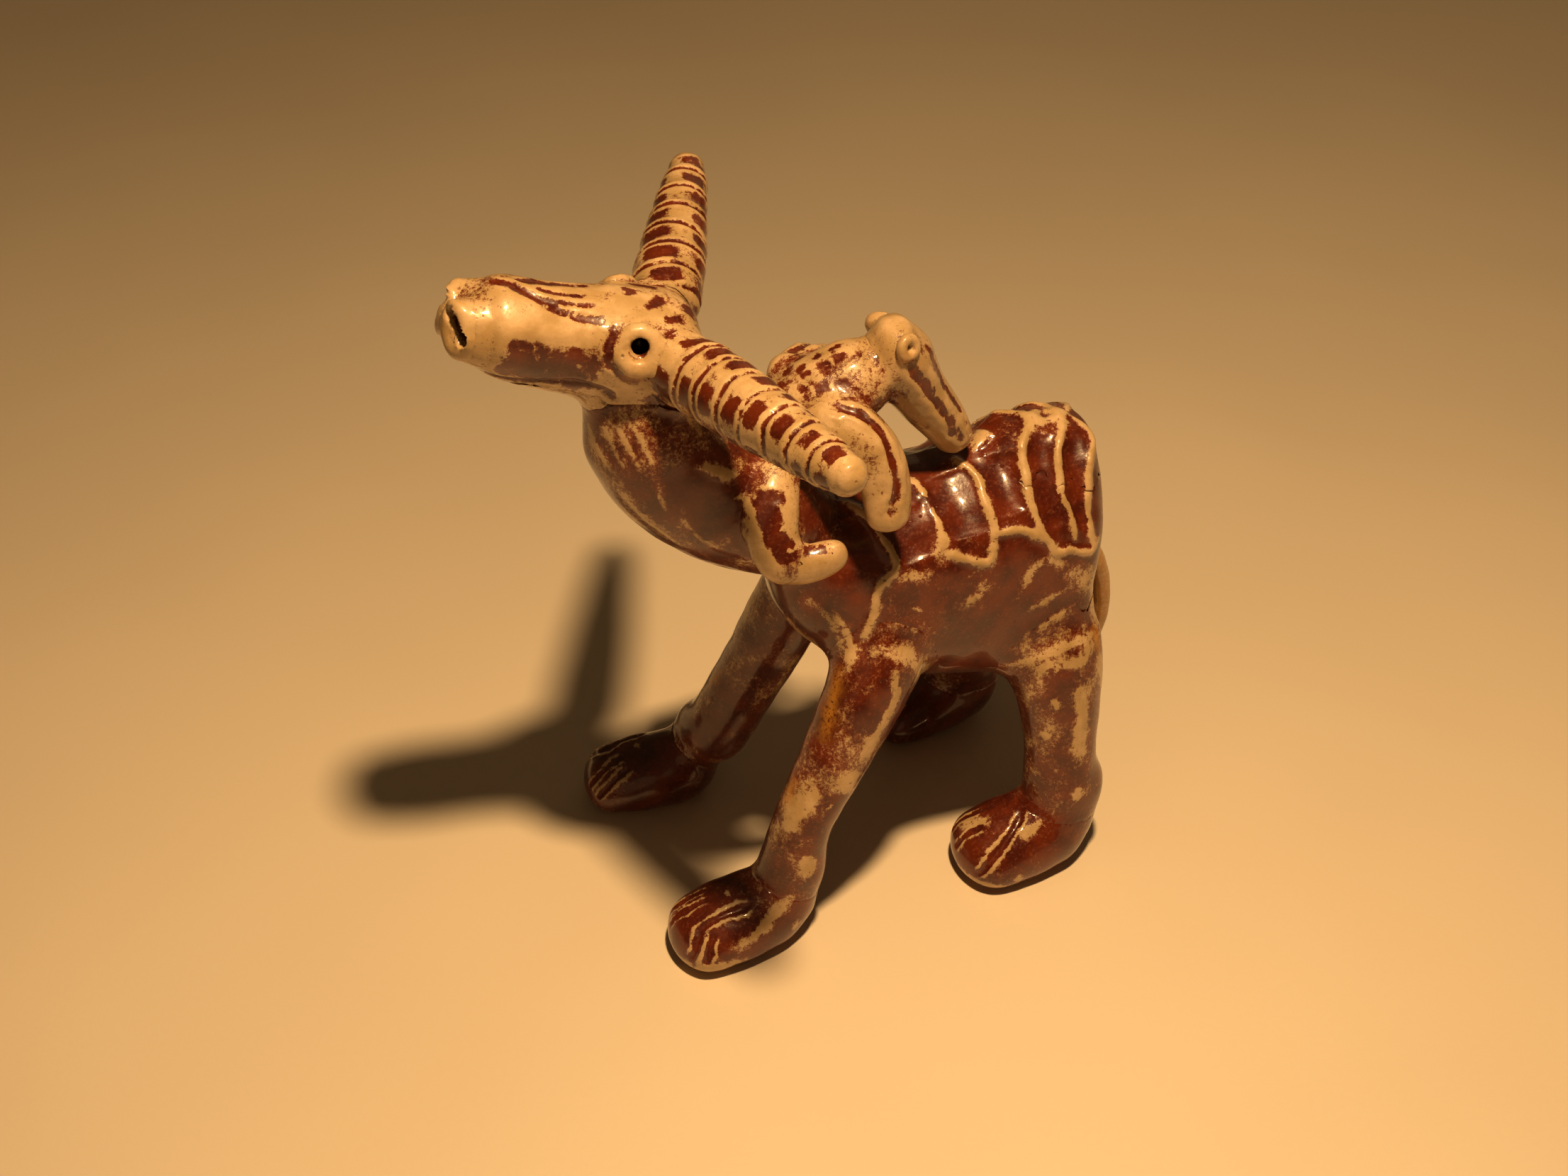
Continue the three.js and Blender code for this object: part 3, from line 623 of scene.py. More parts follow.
def leg_marks():
    """Streaks down the legs and the amber runs, and the paws' toe grooves and smears."""
    made = strokes("left_fore_leg", (
        ([(.74, .26, .88), (.72, .23, .76), (.62, .15, .66), (.53, .11, .57)], 1.1),
        ([(.50, .10, .52), (.42, .08, .44)], 1.5),
        ([(.30, .12, .46), (.20, .19, .38), (.12, .2, .30)], 1.4),
        ([(.34, .05, .41), (.35, .05, .40)], .8),
        ([(.20, .03, .22), (.24, .0, .12)], 1.4),
        ([(.55, .58, .94), (.50, .50, .88)], 1.0),
    ), lift=.06, taper=.4, cream=.9)
    made += strokes("left_fore_leg", (
        ([(.50, .60, .86), (.38, .40, .74), (.33, .30, .62)], 1.4),
        ([(.20, .42, .48), (.10, .38, .38)], 1.1),
    ), lift=.06, taper=.4, amber=.9)
    made += strokes("left_hind_leg", (
        ([(.15, .43, .80), (.42, .30, .80), (.63, .28, .80), (.80, .4, .84)], 1.2),
        ([(.37, .24, .66), (.42, .17, .60)], .8),
        ([(.60, .20, .70), (.64, .18, .59), (.62, .14, .42), (.66, .10, .30)], 1.3),
        ([(.29, .29, .47), (.36, .22, .46)], .5),
        ([(.66, .08, .20), (.60, .06, .14)], 1.0),
        ([(.78, .45, .78), (.84, .5, .6), (.84, .5, .35)], 1.2),
    ), lift=.06, cream=.85, taper=.4)
    made += draw("left_hind_leg", [(.86, .46, .90), (.86, .39, .77)], 1.2, amber=.8)
    made += strokes("left_fore_paw", (
        ([(.04, .78, .45), (.12, .76, .62), (.22, .74, .76), (.33, .70, .86)], .45),
        ([(.02, .60, .45), (.09, .60, .64), (.19, .57, .77), (.32, .55, .88)], .45),
        ([(.08, .18, .34), (.12, .16, .52), (.20, .29, .70), (.35, .30, .84), (.56, .28, .92)], .6),
        ([(.18, .08, .34), (.20, .10, .50), (.27, .18, .70)], .5),
    ), **TOE)
    made += strokes("left_hind_paw", (
        ([(.06, .20, .30), (.10, .13, .45), (.27, .20, .72), (.42, .32, .87), (.50, .42, .93)], .6),
        ([(.03, .55, .40), (.09, .52, .62), (.22, .47, .80)], .45),
        ([(.05, .78, .42), (.13, .76, .62), (.26, .70, .82)], .45),
    ), **TOE)
    made += strokes("left_fore_paw", (
        ([(.86, .34, .95), (.80, .24, .86), (.66, .12, .74), (.48, .06, .58), (.32, .05, .5)], 1.1),
        ([(.86, .0, .35), (.90, .1, .55)], .8),
        ([(.05, .5, .2), (.15, .1, .2), (.3, .02, .25), (.5, .0, .2)], 1.0),
        ([(.42, .5, .95), (.46, .5, .96)], .7),
    ), lift=.06, cream=.8, taper=.3)
    return made + strokes("left_hind_paw", (
        ([(.05, .76, .55), (.16, .60, .72), (.28, .48, .84)], 1.3),
        ([(.58, .25, .92), (.48, .20, .86), (.40, .16, .78)], .9),
        ([(.35, .03, .2), (.38, .02, .35)], .8),
        ([(.02, .5, .2), (.12, .12, .2), (.3, .02, .15)], .8),
    ), lift=.06, cream=.8, taper=.3)


def rider_marks():
    """Spine and snout stripes, the arm's groove, the spots and the feet's red centres."""
    made = draw("rider_head", [(.22, .10, .88), (.28, .03, .76), (.57, .09, .44), (.84, .14, .13)], .9,
                lift=-.3, lip=.2, red=1.0, edge_cream=1.0, taper=.12)
    made += draw("rider_head", [(.35, .5, .93), (.6, .45, .62), (.9, .4, .2)], 1.0,
                 both=False, lift=.2, cream=1.0)
    made += draw("rider_head", [(.40, .30, .84), (.62, .28, .52), (.86, .28, .2)], .6,
                 lift=-.2, red=.9, taper=.2)
    made += draw("rider_right_arm", [(.30, .75, .98), (.55, .55, .93), (.70, .40, .82), (.76, .22, .64),
                                     (.80, .10, .42), (.70, .04, .20)], .75,
                 lift=-.5, lip=.3, red=1.0, edge_cream=1.0, taper=.1)
    for u, v, w in ((.30, .30, .78), (.42, .22, .80), (.36, .57, .84), (.55, .20, .80), (.60, .42, .92),
                    (.48, .40, .90), (.22, .45, .70)):
        made += draw("rider_body", [(u, v, w), (u + .09, v, w + .02)], .7, lift=-.12, red=.85)
    made += draw("rider_right_leg", [(.42, .47, .85), (.30, .22, .66), (.42, .09, .45), (.55, .10, .30)],
                 1.9, lift=-.2, red=1.0, edge_cream=.7, taper=.12, blunt=3.0)
    for u, v, w in ((.35, .30, .74), (.36, .12, .55), (.48, .10, .36)):
        made += draw("rider_right_leg", [(u, v, w), (u + .22, v, w + .05)], .45,
                     lift=.15, cream=.9, taper=.3)
    return made + draw("rider_right_foot", [(.30, .40, .96), (.55, .28, .94), (.74, .20, .9)], 1.25,
                       lift=-.15, red=1.0, edge_cream=1.0, taper=.1, blunt=3.0)


class Horn:
    """A horn's middle line, its incised rings and the blotches between them."""

    def __init__(self, lump, rings, open_side, strength):
        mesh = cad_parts[lump].data
        points = np.array([v.co for v in mesh.vertices])
        out = points[:, 1] * (-1 if lump.startswith("left") else 1)
        cuts = np.linspace(out.min(), out.max(), 12)
        middle = [points[(out >= a - 0.5 * MM) & (out <= b + 0.5 * MM)] for a, b in zip(cuts, cuts[1:])]
        self.line = smooth_line(np.array([(p.min(0) + p.max(0)) / 2 for p in middle if len(p)]), 1.0 * MM)
        self.rings, self.open_side, self.strength = rings, open_side, strength

    def apply(self, points, sheet, ripple):
        """Adds the rings and blotches to each point on the horn."""
        index = np.nonzero(sheet["horn"] == self.open_side)[0]
        if not len(index):
            return
        here = points[index]
        _, along = along_line(here, self.line)
        nearest = self.line[np.clip((along * (len(self.line) - 1)).astype(int), 0, len(self.line) - 1)]
        side = here - nearest
        turn = np.arctan2(side[:, 2], -side[:, 0])
        beat = (along * 1.06 - 0.04) * self.rings + 0.10 * np.sin(turn + 0.6) + 0.05 * ripple[index]
        gap = np.abs(beat - np.round(beat))
        ring = np.exp(-(gap / 0.070) ** 2) * (along < 0.93) * (along > 0.03)
        rim = np.exp(-((gap - 0.14) / 0.07) ** 2)
        sheet["lift"][index] += (0.16 * rim - 0.42 * ring) * MM
        sheet["red"][index] = np.maximum(sheet["red"][index], ring)
        sheet["cream"][index] = np.maximum(sheet["cream"][index], 0.9 * rim)
        blot = np.clip(1.6 - np.abs(np.abs(beat - np.floor(beat) - 0.5)) / 0.19, 0, 1)
        patch = 0.5 + 0.5 * np.cos(4 * turn + 0.8 * np.floor(beat) * self.open_side)
        patch = np.clip(3.2 * patch - 1.0, 0, 1) * (0.75 + 0.5 * ripple[index])
        sheet["red"][index] = np.maximum(sheet["red"][index], self.strength * blot * patch)
        sheet["cream"][index] = np.maximum(sheet["cream"][index], 0.42 * (1 - blot * patch))


def hand_ripple(points):
    """Slow uneven waves over the whole figure, as fingers leave, between -1 and 1."""
    x, y, z = (points / MM).T
    wave = (np.sin(0.31 * x + 1.3 * np.sin(0.17 * z)) * np.sin(0.27 * z + 0.9 * np.sin(0.21 * y))
            + 0.6 * np.sin(0.55 * y + 0.43 * x + 1.1) * np.sin(0.49 * z - 0.37 * x)
            + 0.5 * np.sin(0.9 * x + 0.7 * z + 0.8 * np.sin(0.6 * y)))
    return np.clip(wave / 1.6, -1, 1)


def capsule(start, end, radius):
    """The distance to a rounded rod, as a tool to carve with."""
    start, run = np.array(start), np.array(end) - np.array(start)
    size = float(run @ run) + 1e-15

    def distance(points):
        gap = points - start
        t = np.clip((gap @ run) / size, 0, 1)
        return np.linalg.norm(gap - t[..., None] * run, axis=-1) - radius
    return distance


# The pupils' depth and radius, and the nostril slots' radius, how much it narrows on the way in, and the
# radius of the clay that is pressed round it.
PUPIL_DEPTH, PUPIL_RADIUS = 2.6 * MM, 1.35 * MM
SLOT_RADIUS, SLOT_TAPER, SLOT_WALL = 1.2 * MM, 0.10, 1.5 * MM


def pierce(clay, start, end, radius):
    """Carves one rounded hole or slot."""
    clay.carve(capsule(start, end, radius), start, end, radius)


def open_holes(clay):
    """The eyes' pupils and the nostril slots, each slot in clay that is first pressed full."""
    for eye, share in (("left_eye", (.50, .30, .66)), ("right_eye", (.50, .70, .66))):
        out = outward(clay, spot(eye, .5, .5, .5))
        middle = spot(eye, *share)
        for _ in range(3):
            middle = middle - out * clay.sample(clay.skin, middle[None])[0]
        pierce(clay, middle + out * 1.5 * MM, middle - out * PUPIL_DEPTH, PUPIL_RADIUS)
    for lump, side, ends in (("left_nostril", 1, ((.36, .62, .76), (.44, .18, .46))),
                             ("right_nostril", -1, ((.36, .38, .76), (.44, .82, .46)))):
        a, b = (spot(lump, *end) for end in ends)
        inward = np.array([1.0, 0.22 * side, -0.25])
        for depth in np.linspace(1.2, 3.8, 5) * MM:
            c, d = a + inward * depth, b + inward * depth
            clay.press(clay.skin, capsule(c, d, SLOT_WALL), c, d, SLOT_WALL, 0.5 * MM)
        for depth in np.linspace(-0.8, 3.4, 11) * MM:
            pierce(clay, a + inward * depth, b + inward * depth, SLOT_RADIUS - SLOT_TAPER * max(depth, 0.0))


def outward(clay, point):
    """The way out of the clay at a point, by its broad shape."""
    up = clay.slope(clay.swell, point[None])[0]
    return up / np.linalg.norm(up)


def eye_marks():
    """The amber pooled at the foot of each eye."""
    return [mark for eye in ("left_eye", "rider_right_eye")
            for mark in draw(eye, [(.2, .35, .2), (.45, .3, .08), (.75, .3, .15)], 1.3, amber=.6)]


def all_marks():
    """Every mark and horn on the figure."""
    marks = trunk_marks() + head_marks() + neck_marks() + leg_marks() + rider_marks() + eye_marks()
    return marks, [Horn("left_horn", 8, -1, 1.0), Horn("right_horn", 7, 1, 0.7)]


# ---------------------------------------------------------------- modelling a lump

READY = {}
FEWEST_FACES = 60
# Depth scale of the painted shade inside the eye holes and nostril slots: it darkens the deeper a point lies
# inside the figure's broad shape.
HOLE_SHADE_DEPTH = 0.6 * MM
SHARP = math.radians(62)
LAYERS = ("crown", "edge", "cream", "red", "amber", "bare", "soot")


def kneaded(context):
    """The blended clay and its marks, made once."""
    if "clay" not in READY:
        settings = context.scene.alebrije_clay
        grain = settings.grain * 1.0
        clay = Clay(grain, settings.seam, settings.finish)
        marks, horns = all_marks()
        for mark in marks:
            if mark.wide():
                clay.dent(mark.settle(clay))
        clay.find_swell()
        for mark in marks:
            if not mark.wide():
                mark.settle(clay)
        open_holes(clay)
        READY["clay"], READY["marks"], READY["horns"] = clay, marks, horns
    return READY["clay"]


def press_and_paint(clay, name, points):
    """What the marks do to each point: a lift along the way out, and the amounts of each glaze."""
    sheet = {layer: np.zeros(len(points)) for layer in LAYERS + ("lift", "horn")}
    sheet["horn"] += {"left_horn": -1, "right_horn": 1}.get(name, 0)
    sheet["cream"] += TONE.get(name, 0.0)
    sheet["amber"] += AMBER_TONE.get(name, 0.0)
    ripple = hand_ripple(points)
    wobble = np.clip(0.6 * ripple + 0.7 * hand_ripple(points * 3.3), -1.2, 1.2)
    for mark in READY["marks"]:
        mark.apply(points, sheet, wobble)
    for horn in READY["horns"]:
        horn.apply(points, sheet, ripple)
    sheet["lift"] = np.clip(sheet["lift"], DEEPEST, HIGHEST)
    sheet["ripple"] = RIPPLE * ripple
    if name in FACE + EYES:
        # Painted shade: the eye holes and nostril slots get a near-black layer that deepens with depth inside
        # the broad shape.
        sheet["soot"] = np.clip(-clay.sample(clay.swell, points) / HOLE_SHADE_DEPTH - 0.9, 0, 1)
    return sheet


def model_lump(context, name):
    """One lump as its own closed mesh with the marks pressed in, standing for its CAD node."""
    clay = kneaded(context)
    points, quads = clay.take(name)
    skin = clay.sample(clay.skin, points)
    up = clay.slope(clay.skin, points)
    up /= np.linalg.norm(up, axis=1, keepdims=True) + 1e-9
    sheet = press_and_paint(clay, name, points)
    outside = np.clip(1.8 + skin / (0.9 * clay.grain), 0, 1)
    above_floor = np.clip((points[:, 2] - 0.3 * MM) / (1.5 * MM), 0, 1)
    sides = quad_edges(quads)
    lift = (spread(sheet["lift"], sides, 1) + sheet["ripple"]) * outside * above_floor
    sheet["crown"] = (clay.sample(clay.swell, points) - skin) / MM
    points = points + up * lift[:, None]
    points[:, 2] = np.maximum(points[:, 2], 0)
    shown = (skin > -0.3 * clay.grain).astype(float)
    count = np.bincount(sides[:, 0], shown[sides[:, 1]], len(points))
    count += np.bincount(sides[:, 1], shown[sides[:, 0]], len(points))
    middle = np.zeros_like(points)
    for axis in range(3):
        own = points[:, axis] * shown
        middle[:, axis] = (np.bincount(sides[:, 0], own[sides[:, 1]], len(points))
                           + np.bincount(sides[:, 1], own[sides[:, 0]], len(points)))
    bend = ((points - middle / np.maximum(count, 1)[:, None]) * up).sum(1) / clay.grain
    sheet["edge"] = np.clip(spread(bend * shown * (count > 0), sides, 4) * 6, -1, 1)
    if name in PAWS:
        sheet["bare"] = np.clip(1.25 - points[:, 2] / (1.5 * MM) + 0.3 * hand_ripple(points * 2.7), 0, 1)
    mesh = bpy.data.meshes.new(name + "_clay")
    mesh.from_pydata(points.tolist(), [], quads.tolist())
    for layer in LAYERS:
        values = spread(sheet[layer], sides, 1) if layer not in ("crown", "edge") else sheet[layer]
        mesh.attributes.new(layer, "FLOAT", "POINT").data.foreach_set("value", values.astype(np.float32))
    mesh.shade_smooth()
    mesh.set_sharp_from_angle(angle=SHARP)
    piece = bpy.data.objects.new(name + "_glazed", mesh)
    context.scene.collection.objects.link(piece)
    slot = SLOT_OF.get(name, "mottled_glaze")
    mesh.materials.append(glaze(context, slot))
    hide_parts(name)
    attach(piece, "root")
    return piece


def model_group(context, names):
    """Every lump of a group; one that comes out empty stops the script."""
    for name in names:
        if len(model_lump(context, name).data.polygons) < FEWEST_FACES:
            raise RuntimeError(name + " came out with almost no clay")
    return {"FINISHED"}


# ---------------------------------------------------------------- glazes


class Wiring:
    """Short calls that put nodes in a tree and join them."""

    def __init__(self, tree):
        self.tree = tree

    def add(self, kind, values=None, **settings):
        """A new node with its settings, and values or links for its sockets."""
        node = self.tree.nodes.new("ShaderNode" + kind)
        for key, value in settings.items():
            setattr(node, key, value)
        for key, value in (values or {}).items():
            self.put(value, node.inputs[key])
        return node

    def put(self, value, socket):
        """Links a socket, or sets its value."""
        if isinstance(value, bpy.types.NodeSocket):
            self.tree.links.new(value, socket)
        else:
            socket.default_value = value

    def math(self, operation, a, b=0.0, c=0.0, clamp=False):
        """The result of one sum."""
        node = self.add("Math", operation=operation, use_clamp=clamp)
        for value, socket in zip((a, b, c), node.inputs):
            self.put(value, socket)
        return node.outputs[0]

    def total(self, *terms):
        """The sum of value times amount over the terms."""
        result = 0.0
        for value, amount in terms:
            result = self.math("MULTIPLY_ADD", value, amount, result)
        return result

    def smooth(self, value, low, high, start=0.0, end=1.0):
        """A soft step from start to end as the value goes from low to high."""
        node = self.add("MapRange", {"Value": value, "From Min": low, "From Max": high,
                                     "To Min": start, "To Max": end}, interpolation_type="SMOOTHSTEP")
        return node.outputs["Result"]

    def mix(self, amount, first, second):
        """The second colour laid over the first by an amount."""
        node = self.add("Mix", data_type="RGBA")
        for value, socket in zip((amount, first, second), (node.inputs[0], node.inputs[6], node.inputs[7])):
            self.put(value, socket)
        return node.outputs[2]

    def noise(self, place, scale, detail=2.0, roughness=0.55, twist=0.0):
        """Cloudy noise between 0 and 1."""
        node = self.add("TexNoise", {"Vector": place, "Scale": scale, "Detail": detail,
                                     "Roughness": roughness, "Distortion": twist})
        return node.outputs["Fac"]

    def layer(self, name):
        """One of the amounts stored at the mesh's points."""
        return self.add("Attribute", attribute_name=name).outputs["Fac"]


def group(name, inputs, outputs):
    """An empty node group with named sockets, its wiring, its inputs by name and its output node."""
    tree = bpy.data.node_groups.new(name, "ShaderNodeTree")
    kinds = {"value": "NodeSocketFloat", "colour": "NodeSocketColor", "vector": "NodeSocketVector"}
    for title, kind, default in inputs:
        socket = tree.interface.new_socket(name=title, in_out="INPUT", socket_type=kinds[kind])
        if default is not None:
            socket.default_value = default
    for title, kind in outputs:
        tree.interface.new_socket(name=title, in_out="OUTPUT", socket_type=kinds[kind])
    source, sink = tree.nodes.new("NodeGroupInput"), tree.nodes.new("NodeGroupOutput")
    return Wiring(tree), source.outputs, sink.inputs


def place_group(wiring, maker, values):
    """Puts a shared group in a material with the material's own values."""
    name = maker.__name__.replace("_group", "").replace("_", " ")
    if name not in bpy.data.node_groups:
        maker(name)
    node = wiring.tree.nodes.new("ShaderNodeGroup")
    node.node_tree = bpy.data.node_groups[name]
    for key, value in values.items():
        wiring.put(value, node.inputs[key])
    return node.outputs


def glaze_break_group(name):
    """Where the glaze breaks from red-brown to cream: on crowns and edges, and where it was painted."""
    w, given, out = group(name, [
        ("Place", "vector", None), ("Bias", "value", 0.4), ("Crown", "value", 0.0),
        ("Edge", "value", 0.0), ("Crown amount", "value", 0.4), ("Cream", "value", 0.0),
        ("Red", "value", 0.0), ("Patch scale", "value", 90.0),
        ("Patch strength", "value", 0.8), ("Fuzz", "value", 0.12),
    ], [("Mask", "value"), ("Fringe", "value")])
    patches = w.noise(given["Place"], given["Patch scale"], 3.0, 0.5, 0.6)
    streaks = w.add("Mapping", {"Vector": given["Place"], "Scale": (1.0, 1.0, 0.38)}).outputs[0]
    runs = w.noise(streaks, 420.0, 3.0, 0.6, 0.4)
    fine = w.noise(given["Place"], 1500.0, 2.0, 0.7)
    specks = w.noise(given["Place"], 4200.0, 1.0, 0.6)
    crowned = w.smooth(given["Crown"], 0.14, 0.60)
    hollow = w.smooth(given["Crown"], 0.02, -0.35)
    breaks = w.smooth(w.noise(given["Place"], 520.0, 3.0, 0.65), 0.28, 0.50)
    gaps = w.smooth(w.noise(given["Place"], 640.0, 2.0, 0.6, 0.3), 0.66, 0.42)
    worn = w.smooth(given["Edge"], 0.10, 0.8)
    sunk = w.smooth(given["Edge"], -0.12, -0.9)
    level = w.total(
        (given["Bias"], 1.0), (crowned, given["Crown amount"]), (hollow, -0.40), (worn, 0.55), (sunk, -0.30),
        (given["Cream"], 0.28), (w.math("MULTIPLY", given["Cream"], breaks), 0.80),
        (given["Red"], -0.35), (w.math("MULTIPLY", given["Red"], gaps), -0.90),
        (w.math("SUBTRACT", patches, 0.5), given["Patch strength"]),
        (w.math("SUBTRACT", runs, 0.5), 0.75), (w.math("SUBTRACT", fine, 0.5), 0.85),
        (w.math("SUBTRACT", specks, 0.5), 0.45))
    low = w.math("SUBTRACT", 0.5, given["Fuzz"])
    high = w.math("ADD", 0.5, given["Fuzz"])
    mask = w.smooth(level, low, high)
    w.put(mask, out["Mask"])
    w.put(w.smooth(w.math("ABSOLUTE", w.math("SUBTRACT", level, 0.42)), 0.16, 0.0), out["Fringe"])


def kiln_specks_group(name):
    """Pinholes and small dark iron specks."""
    w, given, out = group(name, [("Place", "vector", None), ("Amount", "value", 0.5)],
                          [("Pinholes", "value"), ("Iron", "value")])
    cells = w.add("TexVoronoi", {"Vector": given["Place"], "Scale": 520.0}).outputs["Distance"]
    holes = w.smooth(cells, 0.17, 0.08)
    where = w.smooth(w.noise(given["Place"], 240.0, 2.0), 0.52, 0.64)
    w.put(w.math("MULTIPLY", w.math("MULTIPLY", holes, where), given["Amount"], clamp=True), out["Pinholes"])
    grains = w.noise(given["Place"], 2600.0, 2.0, 0.65)
    cloud = w.smooth(w.noise(given["Place"], 150.0, 2.0), 0.42, 0.66)
    iron = w.math("MULTIPLY", w.smooth(grains, 0.60, 0.72), cloud)
    w.put(w.math("MULTIPLY", iron, given["Amount"], clamp=True), out["Iron"])


def glaze_ripple_group(name):
    """The height of the glaze: slow pooling, orange peel, the step at each break, and pinholes."""
    w, given, out = group(name, [("Place", "vector", None), ("Mask", "value", 0.0),
                                 ("Pinholes", "value", 0.0), ("Peel", "value", 0.3)], [("Height", "value")])
    pooling = w.noise(given["Place"], 170.0, 2.0)
    peel = w.noise(given["Place"], 1100.0, 2.0, 0.6)
    height = w.total((pooling, 0.8), (peel, given["Peel"]), (given["Mask"], 0.22), (given["Pinholes"], -0.9))
    w.put(height, out["Height"])


GLAZES = {
    # bias is how cream the dip came out, crown how much more so where it stands proud; scale and strength
    # are those of the patches, fuzz the softness of their rims, peel the height of the orange peel.
    "oxblood_glaze": dict(bias=0.13, crown=0.20, scale=85.0, strength=1.05, fuzz=0.17, coat=0.75, peel=0.22),
    "mottled_glaze": dict(bias=0.30, crown=0.36, scale=105.0, strength=1.35, fuzz=0.19, coat=0.75, peel=0.26),
    "cream_glaze": dict(bias=0.68, crown=0.40, scale=120.0, strength=0.85, fuzz=0.18, coat=0.8, peel=0.20),
}


def glaze(context, slot):
    """The fired glaze of one slot: cream breaking over red-brown, amber runs and bare clay at the soles."""
    title = "fired_" + slot
    if title in bpy.data.materials:
        return bpy.data.materials[title]
    own, colours = GLAZES[slot], context.scene.alebrije_glaze
    material = bpy.data.materials.new(title)
    material.use_nodes = True
    material.node_tree.nodes.clear()
    w = Wiring(material.node_tree)
    place = w.add("TexCoord").outputs["Object"]
    broken = place_group(w, glaze_break_group, {
        "Place": place, "Bias": own["bias"], "Crown": w.layer("crown"), "Edge": w.layer("edge"),
        "Cream": w.layer("cream"), "Red": w.layer("red"), "Patch scale": own["scale"],
        "Crown amount": own["crown"], "Patch strength": own["strength"], "Fuzz": own["fuzz"]})
    specks = place_group(w, kiln_specks_group, {"Place": place, "Amount": 0.8})
    cloud = w.noise(place, 210.0, 3.0)
    grit = w.noise(place, 1700.0, 2.0, 0.7)
    brick = w.mix(w.smooth(cloud, 0.35, 0.65), tuple(colours.deep_red), tuple(colours.brick))
    brick = w.mix(w.math("MULTIPLY", w.smooth(grit, 0.52, 0.74), 0.45), brick, tuple(colours.rust))
    cream = w.mix(w.smooth(cloud, 0.66, 0.36), tuple(colours.cream), tuple(colours.straw))
    cream = w.mix(w.math("MULTIPLY", w.smooth(grit, 0.50, 0.72), 0.30), cream, tuple(colours.scuff))
    cream = w.mix(w.math("MULTIPLY", specks["Iron"], 0.65), cream, tuple(colours.iron))
    colour = w.mix(broken["Mask"], brick, cream)
    colour = w.mix(w.math("MULTIPLY", broken["Fringe"], 0.40), colour, tuple(colours.rust))
    ambered = w.math("MULTIPLY", w.layer("amber"), w.smooth(grit, 0.30, 0.50))
    colour = w.mix(ambered, colour, tuple(colours.amber))
    colour = w.mix(w.smooth(w.math("MULTIPLY", w.layer("bare"), w.math("ADD", cloud, 0.5)), 0.45, 0.8),
                   colour, tuple(colours.bare_clay))
    colour = w.mix(w.math("MULTIPLY", specks["Pinholes"], 0.7), colour, tuple(colours.iron))
    # Painted shade: near-black laid into the eye holes and nostril slots, by depth.
    colour = w.mix(w.math("MULTIPLY", w.layer("soot"), 0.93), colour, tuple(colours.soot))
    height = place_group(w, glaze_ripple_group, {
        "Place": place, "Mask": broken["Mask"], "Pinholes": specks["Pinholes"], "Peel": own["peel"]})
    bump = w.add("Bump", {"Strength": 0.55, "Distance": 0.00035, "Height": height["Height"]})
    rough = w.total((w.smooth(grit, 0.35, 0.75), 0.16), (broken["Mask"], 0.06), (w.layer("bare"), 0.45),
                    (0.30, 1.0))
    shader = w.add("BsdfPrincipled", {
        "Base Color": colour, "Roughness": rough, "Normal": bump.outputs[0], "IOR": 1.5,
        "Coat Weight": w.math("MULTIPLY_ADD", w.layer("bare"), -own["coat"], own["coat"], clamp=True),
        "Coat Roughness": 0.07, "Coat IOR": 1.5})
    output = w.add("OutputMaterial")
    w.put(shader.outputs[0], output.inputs["Surface"])
    return material


def paper(context):
    """The floor's pale matt card, with a faint tooth."""
    material = bpy.data.materials.new("pale_card")
    material.use_nodes = True
    material.node_tree.nodes.clear()
    w = Wiring(material.node_tree)
    place = w.add("TexCoord").outputs["Object"]
    tooth = w.noise(place, 900.0, 3.0)
    cloud = w.noise(place, 9.0, 2.0)
    pale = tuple(context.scene.alebrije_studio.floor_colour)
    darker = tuple(0.965 * c for c in pale[:3]) + (1.0,)
    colour = w.mix(w.smooth(cloud, 0.35, 0.65), darker, pale)
    bump = w.add("Bump", {"Strength": 0.15, "Distance": 0.0002, "Height": tooth})
    rough = w.smooth(tooth, 0.2, 0.8, 0.42, 0.58)
    shader = w.add("BsdfPrincipled", {"Base Color": colour, "Roughness": rough, "Normal": bump.outputs[0]})
    w.put(shader.outputs[0], w.add("OutputMaterial").inputs["Surface"])
    return material


# ---------------------------------------------------------------- the stage


# The camera's aim past the middle, in shares of the height.
AIM = Vector((-0.045, -0.006, -0.026))
# The floor: its flat part's radius, the radius of its rim's curve, its outer wall's height, and its spokes.
FLAT, RIM, WALL, SPOKES = 1.6, 0.7, 1.6, 72
# The lamps: place past the figure's middle, aim past it, size, share of the power.
LAMPS = {
    "overhead_lamp": ((0.005, -0.107, 0.42), (-0.03, -0.13, 0.0), 0.036, 1.0),
    "wide_fill": ((-0.55, -0.75, 0.45), (0.0, 0.0, 0.0), 0.7, 0.16),
    "back_fill": ((0.70, 0.80, 0.35), (0.0, 0.0, 0.0), 0.9, 0.22),
}
GAMMA = 0.87


def figure_middle():
    """The middle of the CAD box, and the box's height."""
    low, high = (Vector(corner) for corner in CAD_BOX)
    return (low + high) / 2, high.z - low.z


def set_camera(context):
    """The camera at the viewing angle, aimed beside the figure's middle."""
    studio = context.scene.alebrije_studio
    middle, height = figure_middle()
    data = bpy.data.cameras.new("camera")
    camera = bpy.data.objects.new("camera", data)
    context.scene.collection.objects.link(camera)
    data.lens, data.sensor_width = studio.lens, FILM_WIDTH
    data.clip_start, data.clip_end = 0.01, 20.0
    turn, lift = studio.camera_turn, studio.camera_lift
    back = Vector((-math.sin(turn) * math.cos(lift), -math.cos(turn) * math.cos(lift), math.sin(lift)))
    aim = middle + height * AIM
    camera.location = aim + back * studio.camera_distance
    camera.rotation_euler = (math.pi / 2 - lift, 0, -turn)
    context.scene.camera = camera


